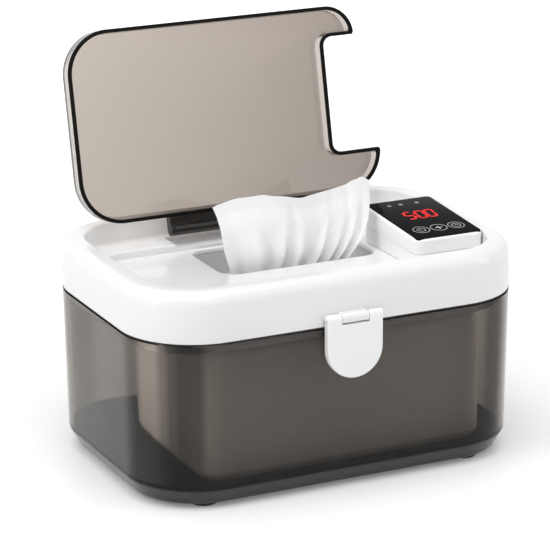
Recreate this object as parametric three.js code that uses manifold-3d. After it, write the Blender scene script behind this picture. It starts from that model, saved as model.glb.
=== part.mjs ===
// Baby wipe warmer: a smoked clear tub, a white heated cover with a dispensing opening and a
// control housing, a clear lid over the opening, and a front latch. Millimetres, +Z up,
// +X to the right seen from the front, front face towards -Y, origin on the floor at the centre.

import * as THREE from 'three';
import { mergeVertices } from 'three/addons/utils/BufferGeometryUtils.js';
import Module from 'manifold-3d';

const wasm = await Module();
wasm.setup();

// Overall body
const bodyWidth = 220;
const bodyDepth = 154;
const cornerRadius = 41;
const seamHeight = 89.4;
const coverHeight = 27;

// Fits
const seatGap = 0.3;
const runningGap = 0.3;
const cutOverrun = 2;

// Tub
const tubWall = 2.4;
const tubFloor = 3;
const tubDraft = 1.4;
const tubChamferHeight = 8.8;
const tubChamferInset = 4.2;
const tubBaseRounding = 1.4;
const footHeight = 2.2;
const footRadius = 7;
const footInsetX = 34;
const footInsetY = 17;
const footSocketDepth = 1;

// Gasket between tub and cover
const gasketThickness = 0.6;
const gasketWidth = 3;
const gasketInset = 0.5;

// Wipes
const stackLeftMargin = 38;
const stackRightMargin = 15;
const stackMarginY = 24;
const stackHeadroom = 8.4;
const stackRadius = 12;
const stackSoftening = 4;

// Cover shell
const coverWall = 2.6;
const rimOuterFillet = 7;
const rimInset = 10.5;
const rimInnerFillet = 2.4;
const recessInset = 13.5;
const ledgeInset = 21;
const ledgeSink = 11;
const deckSink = 15;
const deckThickness = 2.4;
const deckCornerRadius = 14;
const deckRearMargin = 34.4;
const rimChannelInset = 9.6;
const rimChannelRoof = 6.4;

// Dispensing opening and its throat
const openingLeftMargin = 71.5;
const openingHousingGap = 3.8;
const openingFrontMargin = 69;
const openingRearGap = 1.6;
const openingRadius = 9;
const throatWall = 2;
const throatFlange = 4;

// Liner and heater
const linerDrop = 5.2;
const linerInset = 4.6;
const linerFloor = 2;
const linerWall = 2;
const heaterMargin = 24;
const heaterRadius = 16;
const heaterPlateThickness = 1;
const heaterFilmThickness = 0.6;
const heaterWindowMargin = 3;
const filmInset = 4;

// Liner screws and their posts
const postRadius = 3.4;
const postBore = 1.6;
const screwShankRadius = 1.3;
const screwHeadRadius = 2.8;
const screwHeadHeight = 1.6;
const screwReach = 8;
const postMarginX = 26;
const postMarginY = 16.5;

// Lid, in its closed place
const lidLeftMargin = 14.5;
const lidRightMargin = 26;
const lidFrontMargin = 16.5;
const lidRearOverlap = 0.4;
const lidRadius = 24;
const lidHornShortfall = 10;
const lidHornRadius = 16.6;
const lidHeight = 10;
const lidPlate = 2;
const lidWall = 2;
const lidNotchGap = 0.8;
const lidNotchRadius = 5;
const lidOpenAngle = 102.3;

// Lid hinge
const lidAxisMargin = 26.4;
const lidAxisRise = 6.1;
const tongueLeftMargin = 65.5;
const tongueRightMargin = 73.6;
const tongueThickness = 4.6;
const tongueRise = 3.3;
const barrelRadius = 3.3;
const lidPinRadius = 1.5;
const earWidth = 4.6;
const earLeftInset = 40;
const earRightInset = 12;
const lidPinInset = 3;
const earRadius = 4.2;
const hingePocketDepth = 2.4;
const hingePocketMargin = 19.5;

// Control housing and glass
const housingWidth = 41.8;
const housingDepth = 62;
const housingRightMargin = 12.4;
const housingFrontMargin = 34;
const housingRise = 2.8;
const housingRadius = 6;
const housingEdge = 1.4;
const housingWall = 2;
const housingRoof = 2.6;
const housingGrooveDrop = 9;
const housingGrooveHeight = 0.8;
const housingGrooveDepth = 0.6;
const housingTiltRise = 4.3;
const glassCornerRadius = 2.6;
const glassInset = 1.4;
const glassThickness = 1.2;
const glassStandProud = 0.15;
const displayWindowWidth = 28;
const displayWindowDepth = 15;
const displayHeight = 5;
const boardThickness = 1.6;
const boardInset = 1.2;
const touchPadRadius = 3.4;
const touchPadSpacing = 10.5;
const touchPadFromFront = 14;
const boardRibWidth = 1.6;

// Electrics under the deck
const thermistorWidth = 5;
const thermistorDepth = 4;
const thermistorHeight = 2.2;
const cutoutRadius = 5;
const cutoutHeight = 4;
const powerBoardWidth = 34;
const powerBoardDepth = 52;
const inletWidth = 12;
const inletHeight = 5.6;
const inletLength = 9;
const inletMargin = 40;
const inletSocketWidth = 8.6;
const inletSocketHeight = 2.6;
const inletSocketDepth = 6.5;
const inletFlange = 0.8;

// Front latch
const latchWidth = 31.4;
const latchDrop = 27.2;
const latchThickness = 4.2;
const latchStandOff = 1.3;
const latchBarrelRadius = 2.6;
const latchAxisOut = 2.9;
const latchAxisUp = 4.9;
const latchBossWidth = 16.4;
const latchPinRadius = 1.1;
const latchPinStandOut = 1.2;
const catchDrop = 20.4;
const catchHeight = 1.6;
const catchStandOut = 1.9;
const catchWidth = 16;

// Rear hinge of the cover
const rearHingeMargin = 52;
const rearKnuckleWidth = 12;
const rearEarWidth = 6;
const rearBarrelRadius = 2.6;
const rearAxisOut = 2.9;
const rearPinRadius = 1.2;

// Pop-up wipe
const wipeThickness = 1.5;
const wipeHeight = 63;
const wipeBottomClearance = 35.5;
const wipeTopSpread = 3.5;
const wipeSetLeft = 1.95;
const wipeSetBack = 9.5;
const wipeFoldDepth = 3.6;
const wipeLean = 5;
const wipeTopDip = 7;
const wipeFoldCount = 5;
const wipeColumns = 44;
const wipeRows = 9;

// Mesh fineness
const cornerSteps = 8;
const filletSteps = 4;
const roundSteps = 24;

// Places worked out from the sizes above
const coverTop = seamHeight + coverHeight;
const ledgeHeight = coverTop - ledgeSink;
const deckHeight = coverTop - deckSink;
const deckRearY = bodyDepth / 2 - deckRearMargin;
const rimChannelTop = coverTop - rimChannelRoof;
const housingRight = bodyWidth / 2 - housingRightMargin;
const housingLeft = housingRight - housingWidth;
const housingFront = -bodyDepth / 2 + housingFrontMargin;
const housingRear = housingFront + housingDepth;
const housingTop = coverTop + housingRise;
const openingLeft = -bodyWidth / 2 + openingLeftMargin;
const openingRight = housingLeft - openingHousingGap;
const openingFront = -bodyDepth / 2 + openingFrontMargin;
const openingRear = deckRearY - openingRearGap;
const heaterHalfWidth = bodyWidth / 2 - heaterMargin;
const heaterHalfDepth = bodyDepth / 2 - heaterMargin;
const postSpreadX = bodyWidth / 2 - postMarginX;
const postSpreadY = bodyDepth / 2 - postMarginY;
const lidLeft = -bodyWidth / 2 + lidLeftMargin;
const lidRight = bodyWidth / 2 - lidRightMargin;
const lidFront = -bodyDepth / 2 + lidFrontMargin;
const lidRear = deckRearY + lidRearOverlap;
const lidAxisY = bodyDepth / 2 - lidAxisMargin;
const lidAxisZ = ledgeHeight + lidAxisRise;
const tongueLeft = -bodyWidth / 2 + tongueLeftMargin;
const tongueRight = bodyWidth / 2 - tongueRightMargin;
const hingePocketRear = bodyDepth / 2 - hingePocketMargin;
const inletX = bodyWidth / 2 - inletMargin;
const rearHingeSpreadX = bodyWidth / 2 - rearHingeMargin;
const latchBottom = seamHeight - latchDrop;
const wipeCentreX = (openingLeft + openingRight) / 2 - wipeSetLeft;
const wipeCentreY = openingFront + wipeSetBack;
const wipeBottomWidth = openingRight - openingLeft - wipeBottomClearance;
const wipeTopWidth = openingRight - openingLeft + wipeTopSpread;
const tubTop = seamHeight - gasketThickness / 2 - seatGap;
const coverBottom = seamHeight + gasketThickness / 2 + seatGap;
const tubFloorTop = footHeight + tubFloor;
const deckUnder = deckHeight - deckThickness;
const linerBottom = tubTop + seatGap - linerDrop;
const linerFloorTop = linerBottom + linerFloor;
const housingMiddleX = (housingLeft + housingRight) / 2;
const housingMiddleY = (housingFront + housingRear) / 2;
const lidTop = ledgeHeight + seatGap + lidHeight;
const latchAxisZ = seamHeight + latchAxisUp;
const latchAxisY = -bodyDepth / 2 - latchAxisOut;
const rearAxisY = bodyDepth / 2 + rearAxisOut;
const rearAxisZ = seamHeight;

// Solids

function toSolid(geometry) {
  geometry.deleteAttribute('normal');
  geometry.deleteAttribute('uv');
  const merged = mergeVertices(geometry, 1e-4);
  return new wasm.Manifold(new wasm.Mesh({
    numProp: 3,
    vertProperties: Float32Array.from(merged.attributes.position.array),
    triVerts: Uint32Array.from(merged.index.array),
  }));
}

function toGeometry(solid) {
  const mesh = solid.getMesh();
  const positions = [];
  for (let v = 0; v < mesh.vertProperties.length; v += mesh.numProp) {
    positions.push(...mesh.vertProperties.subarray(v, v + 3));
  }
  const geometry = new THREE.BufferGeometry();
  geometry.setAttribute('position', new THREE.Float32BufferAttribute(positions, 3));
  geometry.setIndex([...mesh.triVerts]);
  const flat = geometry.toNonIndexed();
  flat.computeVertexNormals();
  return flat;
}

// A rounded rectangle between two corners, as a list of points that runs anticlockwise.
function roundedOutline(x0, y0, x1, y1, radius) {
  const r = Math.max(Math.min(radius, (x1 - x0) / 2, (y1 - y0) / 2), 0);
  const centres = [
    [x1 - r, y0 + r, -Math.PI / 2],
    [x1 - r, y1 - r, 0],
    [x0 + r, y1 - r, Math.PI / 2],
    [x0 + r, y0 + r, Math.PI],
  ];
  const points = [];
  for (const [cx, cy, start] of centres) {
    for (let i = 0; i <= cornerSteps; i++) {
      const angle = start + (i / cornerSteps) * Math.PI / 2;
      points.push([cx + r * Math.cos(angle), cy + r * Math.sin(angle)]);
    }
  }
  return points;
}

// The body's plan outline, drawn in from its outer face by an inset.
function bodyOutline(inset) {
  const x = bodyWidth / 2 - inset;
  const y = bodyDepth / 2 - inset;
  return roundedOutline(-x, -y, x, y, cornerRadius - inset);
}

// A solid skinned through levels, each one an outline with the same count of points.
function loft(levels) {
  const count = levels[0].outline.length;
  const positions = [];
  const indices = [];
  for (const { outline, z } of levels) {
    for (const [x, y] of outline) positions.push(x, y, z);
  }
  for (let level = 0; level + 1 < levels.length; level++) {
    for (let i = 0; i < count; i++) {
      const a = level * count + i;
      const b = level * count + (i + 1) % count;
      indices.push(a, b, b + count, a, b + count, a + count);
    }
  }
  const last = (levels.length - 1) * count;
  const triangles = THREE.ShapeUtils.triangulateShape(
    levels[0].outline.map(([x, y]) => new THREE.Vector2(x, y)), []);
  for (const [a, b, c] of triangles) {
    indices.push(c, b, a);
    indices.push(last + a, last + b, last + c);
  }
  const geometry = new THREE.BufferGeometry();
  geometry.setAttribute('position', new THREE.Float32BufferAttribute(positions, 3));
  geometry.setIndex(indices);
  return toSolid(geometry);
}

function bodyLoft(profile) {
  return loft(profile.map(([inset, z]) => ({ outline: bodyOutline(inset), z })));
}

// A straight-sided block with a rounded rectangular plan.
function slab(x0, y0, x1, y1, z0, z1, radius) {
  const outline = roundedOutline(x0, y0, x1, y1, radius);
  return loft([{ outline, z: z0 }, { outline, z: z1 }]);
}

function box(x0, y0, z0, x1, y1, z1) {
  const geometry = new THREE.BoxGeometry(x1 - x0, y1 - y0, z1 - z0);
  geometry.translate((x0 + x1) / 2, (y0 + y1) / 2, (z0 + z1) / 2);
  return toSolid(geometry);
}

// A round bar along X from x0 to x1.
function barX(x0, x1, y, z, radius) {
  const geometry = new THREE.CylinderGeometry(radius, radius, x1 - x0, roundSteps);
  geometry.rotateZ(Math.PI / 2);
  geometry.translate((x0 + x1) / 2, y, z);
  return toSolid(geometry);
}

// A round bar along Z from z0 to z1.
function barZ(x, y, z0, z1, radius) {
  const geometry = new THREE.CylinderGeometry(radius, radius, z1 - z0, roundSteps);
  geometry.rotateX(Math.PI / 2);
  geometry.translate(x, y, (z0 + z1) / 2);
  return toSolid(geometry);
}

// Levels of a quarter-round edge between a lower inset and an upper one.
function filletLevels(insetLow, zLow, insetHigh, zHigh) {
  const levels = [];
  for (let i = 1; i <= filletSteps; i++) {
    const angle = (i / filletSteps) * Math.PI / 2;
    levels.push([
      insetLow + (insetHigh - insetLow) * (1 - Math.cos(angle)),
      zLow + (zHigh - zLow) * Math.sin(angle),
    ]);
  }
  return levels;
}

// Materials

function plastic(color, roughness = 0.35) {
  return new THREE.MeshStandardMaterial({ color, roughness, metalness: 0 });
}

function metal(color, roughness = 0.3) {
  return new THREE.MeshStandardMaterial({ color, roughness, metalness: 1 });
}

function smoked() {
  return new THREE.MeshStandardMaterial({
    color: 0x6b6259, roughness: 0.08, metalness: 0, transparent: true, opacity: 0.55,
  });
}

const warmer = new THREE.Group();
const cover = new THREE.Group();
const lid = new THREE.Group();
const latch = new THREE.Group();
warmer.add(cover);
cover.add(lid, latch);

function place(parent, name, solid, material) {
  const mesh = new THREE.Mesh(toGeometry(solid), material);
  mesh.name = name;
  parent.add(mesh);
}

// Tub: a moulded clear box with a chamfered base, two hinge ears behind and a catch in front.

function tubProfile(inset, floor) {
  const chamferTop = footHeight + tubChamferHeight;
  return [
    [tubDraft + tubChamferInset + tubBaseRounding + inset, footHeight + floor],
    [tubDraft + tubChamferInset + inset, footHeight + floor + tubBaseRounding],
    [tubDraft + inset, chamferTop + floor / 2],
    [inset, tubTop + (inset > 0 ? cutOverrun : 0)],
  ];
}

function rearEars(side) {
  const middle = side * rearHingeSpreadX;
  const half = rearKnuckleWidth / 2 + runningGap;
  const wallY = bodyDepth / 2 - tubWall / 2;
  let ears = null;
  for (const hand of [-1, 1]) {
    const x0 = middle + (hand < 0 ? -half - rearEarWidth : half);
    const x1 = x0 + rearEarWidth;
    const low = rearAxisZ - rearBarrelRadius * 2;
    const ear = barX(x0, x1, rearAxisY, rearAxisZ, rearBarrelRadius)
      .add(box(x0, wallY, low, x1, rearAxisY, tubTop))
      .add(box(x0, rearAxisY - rearBarrelRadius, low, x1, rearAxisY + rearBarrelRadius,
        rearAxisZ));
    ears = ears ? ears.add(ear) : ear;
  }
  return ears;
}

function makeTub() {
  let tub = bodyLoft(tubProfile(0, 0)).subtract(bodyLoft(tubProfile(tubWall, tubFloor)));
  for (const side of [-1, 1]) {
    tub = tub.add(rearEars(side));
    const half = rearKnuckleWidth / 2 + rearEarWidth + runningGap * 2;
    tub = tub.subtract(barX(side * rearHingeSpreadX - half, side * rearHingeSpreadX + half,
      rearAxisY, rearAxisZ, rearPinRadius + runningGap));
  }
  const catchTop = seamHeight - catchDrop;
  const frontY = -bodyDepth / 2;
  const rib = box(-catchWidth / 2, frontY - catchStandOut + tubDraft / 2, catchTop - catchHeight,
    catchWidth / 2, frontY + tubWall / 2 + tubDraft / 2, catchTop);
  tub = tub.add(rib);
  for (const foot of footPlaces()) {
    tub = tub.subtract(barZ(foot.x, foot.y, footHeight - cutOverrun,
      footHeight + footSocketDepth, footRadius + seatGap));
  }
  return tub;
}

function footPlaces() {
  const places = [];
  for (const [endName, sy] of [['front', -1], ['rear', 1]]) {
    for (const [sideName, sx] of [['left', -1], ['right', 1]]) {
      places.push({
        name: `foot_${endName}_${sideName}`,
        x: sx * (bodyWidth / 2 - footInsetX),
        y: sy * (bodyDepth / 2 - footInsetY),
      });
    }
  }
  return places;
}

place(warmer, 'tub_shell', makeTub(), smoked());
for (const foot of footPlaces()) {
  const pad = barZ(foot.x, foot.y, 0, footHeight + footSocketDepth - seatGap, footRadius);
  place(warmer, foot.name, pad, plastic(0x161616, 0.9));
}
for (const [name, side] of [['rear_hinge_pin_left', -1], ['rear_hinge_pin_right', 1]]) {
  const half = rearKnuckleWidth / 2 + rearEarWidth + runningGap;
  const pin = barX(side * rearHingeSpreadX - half, side * rearHingeSpreadX + half,
    rearAxisY, rearAxisZ, rearPinRadius);
  place(warmer, name, pin, metal(0xb8bcc0));
}

// Gasket: a black ring that lies on the tub's rim and shows as the dark seam line.
const gasketLow = tubTop + seatGap;
const gasketHigh = gasketLow + gasketThickness;
const gasket = bodyLoft([[gasketInset, gasketLow], [gasketInset, gasketHigh]])
  .subtract(bodyLoft([
    [gasketInset + gasketWidth, gasketLow - cutOverrun],
    [gasketInset + gasketWidth, gasketHigh + cutOverrun],
  ]));
place(warmer, 'seam_gasket', gasket, plastic(0x101010, 0.7));

// Wipe stack: folded wet wipes with softened edges, lying on the tub's floor.
const stackLow = tubFloorTop + seatGap;
const stackTop = linerBottom - stackHeadroom;
function stackOutline(inset) {
  const y = bodyDepth / 2 - stackMarginY - inset;
  return roundedOutline(-bodyWidth / 2 + stackLeftMargin + inset, -y,
    bodyWidth / 2 - stackRightMargin - inset, y, stackRadius - inset);
}
const stackEdge = stackSoftening / 2;
place(warmer, 'wipe_stack', loft([
  { outline: stackOutline(stackSoftening), z: stackLow },
  { outline: stackOutline(0), z: stackLow + stackSoftening },
  { outline: stackOutline(0), z: stackTop - stackSoftening - stackEdge },
  { outline: stackOutline(stackEdge), z: stackTop - stackEdge },
  { outline: stackOutline(stackSoftening * 3), z: stackTop },
]), plastic(0xf1efe9, 0.95));

// Cover: a white rim round a sunken deck, hollow underneath, with posts for the liner's screws,
// ears for the lid's pin, a knuckle pair behind and a boss for the latch in front.

function postPlaces() {
  const places = [];
  for (const sy of [-1, 1]) {
    for (const sx of [-1, 0, 1]) {
      places.push({ x: sx * postSpreadX, y: sy * postSpreadY });
    }
  }
  return places;
}

function rimBlank() {
  return bodyLoft([
    [0, coverBottom],
    [0, coverTop - rimOuterFillet],
    ...filletLevels(0, coverTop - rimOuterFillet, rimOuterFillet, coverTop),
  ]);
}

function recessCut() {
  return bodyLoft([
    [recessInset, ledgeHeight],
    [recessInset - (recessInset - rimInset) / 2, coverTop - rimInnerFillet],
    [rimInset, coverTop],
    [rimInset, coverTop + cutOverrun],
  ]);
}

function deckCut() {
  const x = bodyWidth / 2 - ledgeInset;
  const frontY = -bodyDepth / 2 + ledgeInset;
  return slab(-x, frontY, x, deckRearY, deckHeight, coverTop + cutOverrun, deckCornerRadius);
}

function housingCut() {
  return slab(housingLeft - runningGap, housingFront - seatGap * 2, housingRight + seatGap * 2,
    housingRear + seatGap * 2, deckHeight, coverTop + cutOverrun, housingRadius);
}

function hingePocketCut() {
  const floor = ledgeHeight - hingePocketDepth;
  return box(tongueLeft - runningGap, deckRearY - cutOverrun, floor,
    tongueRight + runningGap, hingePocketRear, coverTop + cutOverrun);
}

function undersideCut() {
  const low = coverBottom - cutOverrun;
  const hollow = bodyLoft([[coverWall, low], [coverWall, deckUnder]]);
  const channel = bodyLoft([[coverWall, deckUnder - cutOverrun], [coverWall, rimChannelTop]])
    .subtract(bodyLoft([[rimChannelInset, low], [rimChannelInset, coverTop]]));
  return hollow.add(channel);
}

function openingBlock(margin, low, high) {
  return slab(openingLeft - margin, openingFront - margin, openingRight + margin,
    openingRear + margin, low, high, openingRadius + margin);
}

// The ears stand in slots of the lid's tongue, so that the tongue's ends stay plain.
const earPlaces = [tongueLeft + earLeftInset, tongueRight - earRightInset - earWidth];

function lidEar(x0) {
  const floor = ledgeHeight - hingePocketDepth - deckThickness / 2;
  return barX(x0, x0 + earWidth, lidAxisY, lidAxisZ, earRadius)
    .add(box(x0, lidAxisY - earRadius, floor, x0 + earWidth, lidAxisY + earRadius, lidAxisZ));
}

function rearKnuckle(side) {
  const x0 = side * rearHingeSpreadX - rearKnuckleWidth / 2;
  const x1 = x0 + rearKnuckleWidth;
  const reach = rearBarrelRadius * 2;
  const wallY = bodyDepth / 2 - coverWall / 2;
  return barX(x0, x1, rearAxisY, rearAxisZ, rearBarrelRadius)
    .add(box(x0, wallY, coverBottom, x1, rearAxisY, rearAxisZ + reach))
    .add(box(x0, rearAxisY - rearBarrelRadius, rearAxisZ, x1,
      rearAxisY + rearBarrelRadius, rearAxisZ + reach));
}

function latchBoss() {
  const x = latchBossWidth / 2;
  const wallY = -bodyDepth / 2 + coverWall / 2;
  return barX(-x, x, latchAxisY, latchAxisZ, latchBarrelRadius)
    .add(box(-x, latchAxisY, latchAxisZ - latchBarrelRadius, x, wallY,
      latchAxisZ + latchBarrelRadius));
}

function inletBlock(margin, y0, y1) {
  const z0 = deckUnder - seatGap - inletHeight;
  return box(inletX - inletWidth / 2 - margin, y0, z0 - margin,
    inletX + inletWidth / 2 + margin, y1, z0 + inletHeight + margin);
}

function makeCover() {
  let shell = rimBlank().subtract(recessCut()).subtract(deckCut()).subtract(undersideCut());
  for (const post of postPlaces()) {
    shell = shell.add(barZ(post.x, post.y, linerFloorTop + seatGap, deckUnder + deckThickness / 2,
      postRadius));
  }
  shell = shell.subtract(hingePocketCut()).subtract(housingCut());
  for (const x0 of earPlaces) {
    shell = shell.add(lidEar(x0));
  }
  shell = shell.subtract(openingBlock(0, deckUnder - cutOverrun, coverTop));
  for (const post of postPlaces()) {
    const depth = screwReach + seatGap;
    shell = shell.subtract(barZ(post.x, post.y, linerFloorTop - cutOverrun,
      linerFloorTop + depth, postBore));
  }
  for (const side of [-1, 1]) {
    const half = rearKnuckleWidth / 2 + cutOverrun;
    shell = shell.add(rearKnuckle(side)).subtract(barX(side * rearHingeSpreadX - half,
      side * rearHingeSpreadX + half, rearAxisY, rearAxisZ, rearPinRadius + runningGap));
  }
  shell = shell.add(latchBoss()).subtract(barX(-latchWidth, latchWidth, latchAxisY, latchAxisZ,
    latchPinRadius + runningGap));
  shell = shell.subtract(barX(tongueLeft, tongueRight, lidAxisY, lidAxisZ,
    lidPinRadius + runningGap));
  const rearY = bodyDepth / 2;
  shell = shell.subtract(inletBlock(seatGap, rearY - coverWall - cutOverrun, rearY + cutOverrun));
  return shell;
}

place(cover, 'cover_shell', makeCover(), plastic(0xf2f2f2, 0.3));

place(cover, 'lid_hinge_pin', barX(tongueLeft + lidPinInset, tongueRight - lidPinInset,
  lidAxisY, lidAxisZ, lidPinRadius), metal(0xb8bcc0));

const latchPinHalf = latchWidth / 2 + latchPinStandOut;
place(cover, 'latch_pin', barX(-latchPinHalf, latchPinHalf, latchAxisY, latchAxisZ,
  latchPinRadius), metal(0xd8d8d8));

// Throat: a white sleeve under the deck's opening, with a flange that the wipe is pulled over.
const throatTop = deckUnder - seatGap;
const throat = openingBlock(throatWall, linerBottom, throatTop)
  .subtract(openingBlock(0, linerBottom + throatWall, throatTop + cutOverrun))
  .subtract(openingBlock(-throatFlange, linerBottom - cutOverrun, throatTop));
place(cover, 'dispensing_throat', throat, plastic(0xeeeeee, 0.3));

// Liner: a shallow tray that closes the cover from below and dips into the tub.
const linerTop = throatTop;
function makeLiner() {
  const outer = bodyLoft([[linerInset, linerBottom], [linerInset, linerTop]]);
  const inner = bodyLoft([
    [linerInset + linerWall, linerFloorTop],
    [linerInset + linerWall, linerTop + cutOverrun],
  ]);
  let liner = outer.subtract(inner);
  liner = liner.subtract(openingBlock(throatWall + seatGap, linerBottom - cutOverrun, linerTop));
  for (const post of postPlaces()) {
    liner = liner.subtract(barZ(post.x, post.y, linerBottom - cutOverrun,
      linerFloorTop + cutOverrun, postBore + seatGap));
  }
  const wallY = bodyDepth / 2 - linerInset;
  return liner.subtract(inletBlock(seatGap, wallY - linerWall - cutOverrun, wallY + cutOverrun));
}
place(cover, 'cover_liner', makeLiner(), plastic(0xe6e6e6, 0.4));

postPlaces().forEach((post, i) => {
  const seat = linerBottom - seatGap;
  const screw = barZ(post.x, post.y, seat - screwHeadHeight, seat, screwHeadRadius)
    .add(barZ(post.x, post.y, seat - screwHeadHeight / 2, linerFloorTop + screwReach,
      screwShankRadius));
  place(cover, `liner_screw_${i + 1}`, screw, metal(0xa9adb2));
});

// Heater: a plate on the liner's floor with a film on top, both open round the throat.
function heaterSheet(inset, low, thickness) {
  const x = heaterHalfWidth - inset;
  const y = heaterHalfDepth - inset;
  return slab(-x, -y, x, y, low, low + thickness, heaterRadius - inset)
    .subtract(openingBlock(throatWall + heaterWindowMargin + inset, low - cutOverrun,
      low + thickness + cutOverrun));
}
const plateLow = linerFloorTop + seatGap;
const filmLow = plateLow + heaterPlateThickness + seatGap;
const filmTop = filmLow + heaterFilmThickness;
place(cover, 'heating_plate', heaterSheet(0, plateLow, heaterPlateThickness), metal(0xc4c6c8));
place(cover, 'heating_film', heaterSheet(filmInset, filmLow, heaterFilmThickness),
  plastic(0xb8742a, 0.4));

const sensorLow = filmTop + seatGap;
const sensorX = (-heaterHalfWidth + openingLeft) / 2;
place(cover, 'thermistor', box(
  sensorX - thermistorWidth / 2, -heaterHalfDepth / 2 - thermistorDepth, sensorLow,
  sensorX + thermistorWidth / 2, -heaterHalfDepth / 2, sensorLow + thermistorHeight,
), plastic(0x2c2c2c, 0.5));
place(cover, 'thermal_cutout', barZ(sensorX, heaterHalfDepth / 3, sensorLow,
  sensorLow + cutoutHeight, cutoutRadius), plastic(0x3a2d22, 0.5));

const powerBoardTop = deckUnder - seatGap;
place(cover, 'power_board', box(
  housingMiddleX - powerBoardWidth / 2, housingMiddleY - powerBoardDepth / 2,
  powerBoardTop - boardThickness,
  housingMiddleX + powerBoardWidth / 2, housingMiddleY + powerBoardDepth / 2, powerBoardTop,
), plastic(0x1f5b36, 0.5));

const inletMouth = bodyDepth / 2 + inletFlange;
const inlet = inletBlock(0, inletMouth - inletLength, inletMouth)
  .subtract(box(
    inletX - inletSocketWidth / 2, inletMouth - inletSocketDepth,
    deckUnder - seatGap - (inletHeight + inletSocketHeight) / 2,
    inletX + inletSocketWidth / 2, inletMouth + cutOverrun,
    deckUnder - seatGap - (inletHeight - inletSocketHeight) / 2,
  ));
place(cover, 'power_inlet', inlet, plastic(0x1c1c1c, 0.5));

// Control housing: a white box on the deck, open below, with a groove round its foot.
function housingBlock(inset, low, high) {
  return slab(housingLeft + inset, housingFront + inset, housingRight - inset,
    housingRear - inset, low, high, housingRadius - inset);
}
function glassBlock(inset, low, high) {
  return slab(housingLeft + inset, housingFront + inset, housingRight - inset,
    housingRear - inset, low, high, glassCornerRadius + glassInset - inset);
}
const housingLow = deckHeight + seatGap;
const housingCeiling = housingTop - housingRoof;
const glassLow = housingTop + glassStandProud - glassThickness;
const glassSeat = glassLow - seatGap;
const boardLow = housingCeiling - seatGap - displayHeight - seatGap - boardThickness;
const boardTop = boardLow + boardThickness;

// The module's top leans towards the user: heights shift more the higher and the further back.
function leaned(solid) {
  return solid.warp((point) => {
    const share = (point[2] - housingLow) / (housingTop - housingLow);
    point[2] += (share * housingTiltRise * (point[1] - housingMiddleY)) / housingDepth;
  });
}

function makeHousing() {
  const edgeLevels = [[0, housingLow], [0, housingTop - housingEdge],
    ...filletLevels(0, housingTop - housingEdge, housingEdge, housingTop)];
  const outlineAt = (inset) => roundedOutline(housingLeft + inset, housingFront + inset,
    housingRight - inset, housingRear - inset, housingRadius - inset);
  let housing = loft(edgeLevels.map(([inset, z]) => ({ outline: outlineAt(inset), z })));
  const grooveTop = housingTop - housingGrooveDrop;
  const grooveLow = grooveTop - housingGrooveHeight;
  housing = housing.subtract(housingBlock(-cutOverrun, grooveLow, grooveTop)
    .subtract(housingBlock(housingGrooveDepth, grooveLow - cutOverrun, grooveTop + cutOverrun)));
  housing = housing.subtract(housingBlock(housingWall, housingLow - cutOverrun, housingCeiling));
  const rib = housingBlock(housingWall / 2, housingLow, boardLow - seatGap)
    .subtract(housingBlock(housingWall + boardRibWidth, housingLow - cutOverrun, housingCeiling));
  housing = housing.add(rib);
  housing = housing.subtract(glassBlock(glassInset - seatGap, glassSeat, coverTop * 2));
  const windowX = displayWindowWidth / 2;
  const windowY = displayWindowDepth / 2;
  return housing.subtract(box(housingMiddleX - windowX, housingMiddleY - windowY,
    housingCeiling - cutOverrun, housingMiddleX + windowX, housingMiddleY + windowY, housingTop));
}
place(cover, 'control_housing', leaned(makeHousing()), plastic(0xf4f4f4, 0.3));
place(cover, 'control_glass', leaned(glassBlock(glassInset, glassLow,
  glassLow + glassThickness)), plastic(0x0b0b0c, 0.08));
place(cover, 'display_board', leaned(housingBlock(housingWall + boardInset, boardLow, boardTop)),
  plastic(0x1f5b36, 0.5));
place(cover, 'digit_display', leaned(box(
  housingMiddleX - displayWindowWidth / 2 + seatGap * 2,
  housingMiddleY - displayWindowDepth / 2 + seatGap * 2, boardTop + seatGap,
  housingMiddleX + displayWindowWidth / 2 - seatGap * 2,
  housingMiddleY + displayWindowDepth / 2 - seatGap * 2, glassSeat,
)), plastic(0xc01818, 0.5));
[-1, 0, 1].forEach((step, i) => {
  place(cover, `touch_pad_${i + 1}`, leaned(barZ(housingMiddleX + step * touchPadSpacing,
    housingFront + touchPadFromFront, boardTop + seatGap, housingCeiling - seatGap,
    touchPadRadius)), plastic(0x2a2a2a, 0.8));
});

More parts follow.
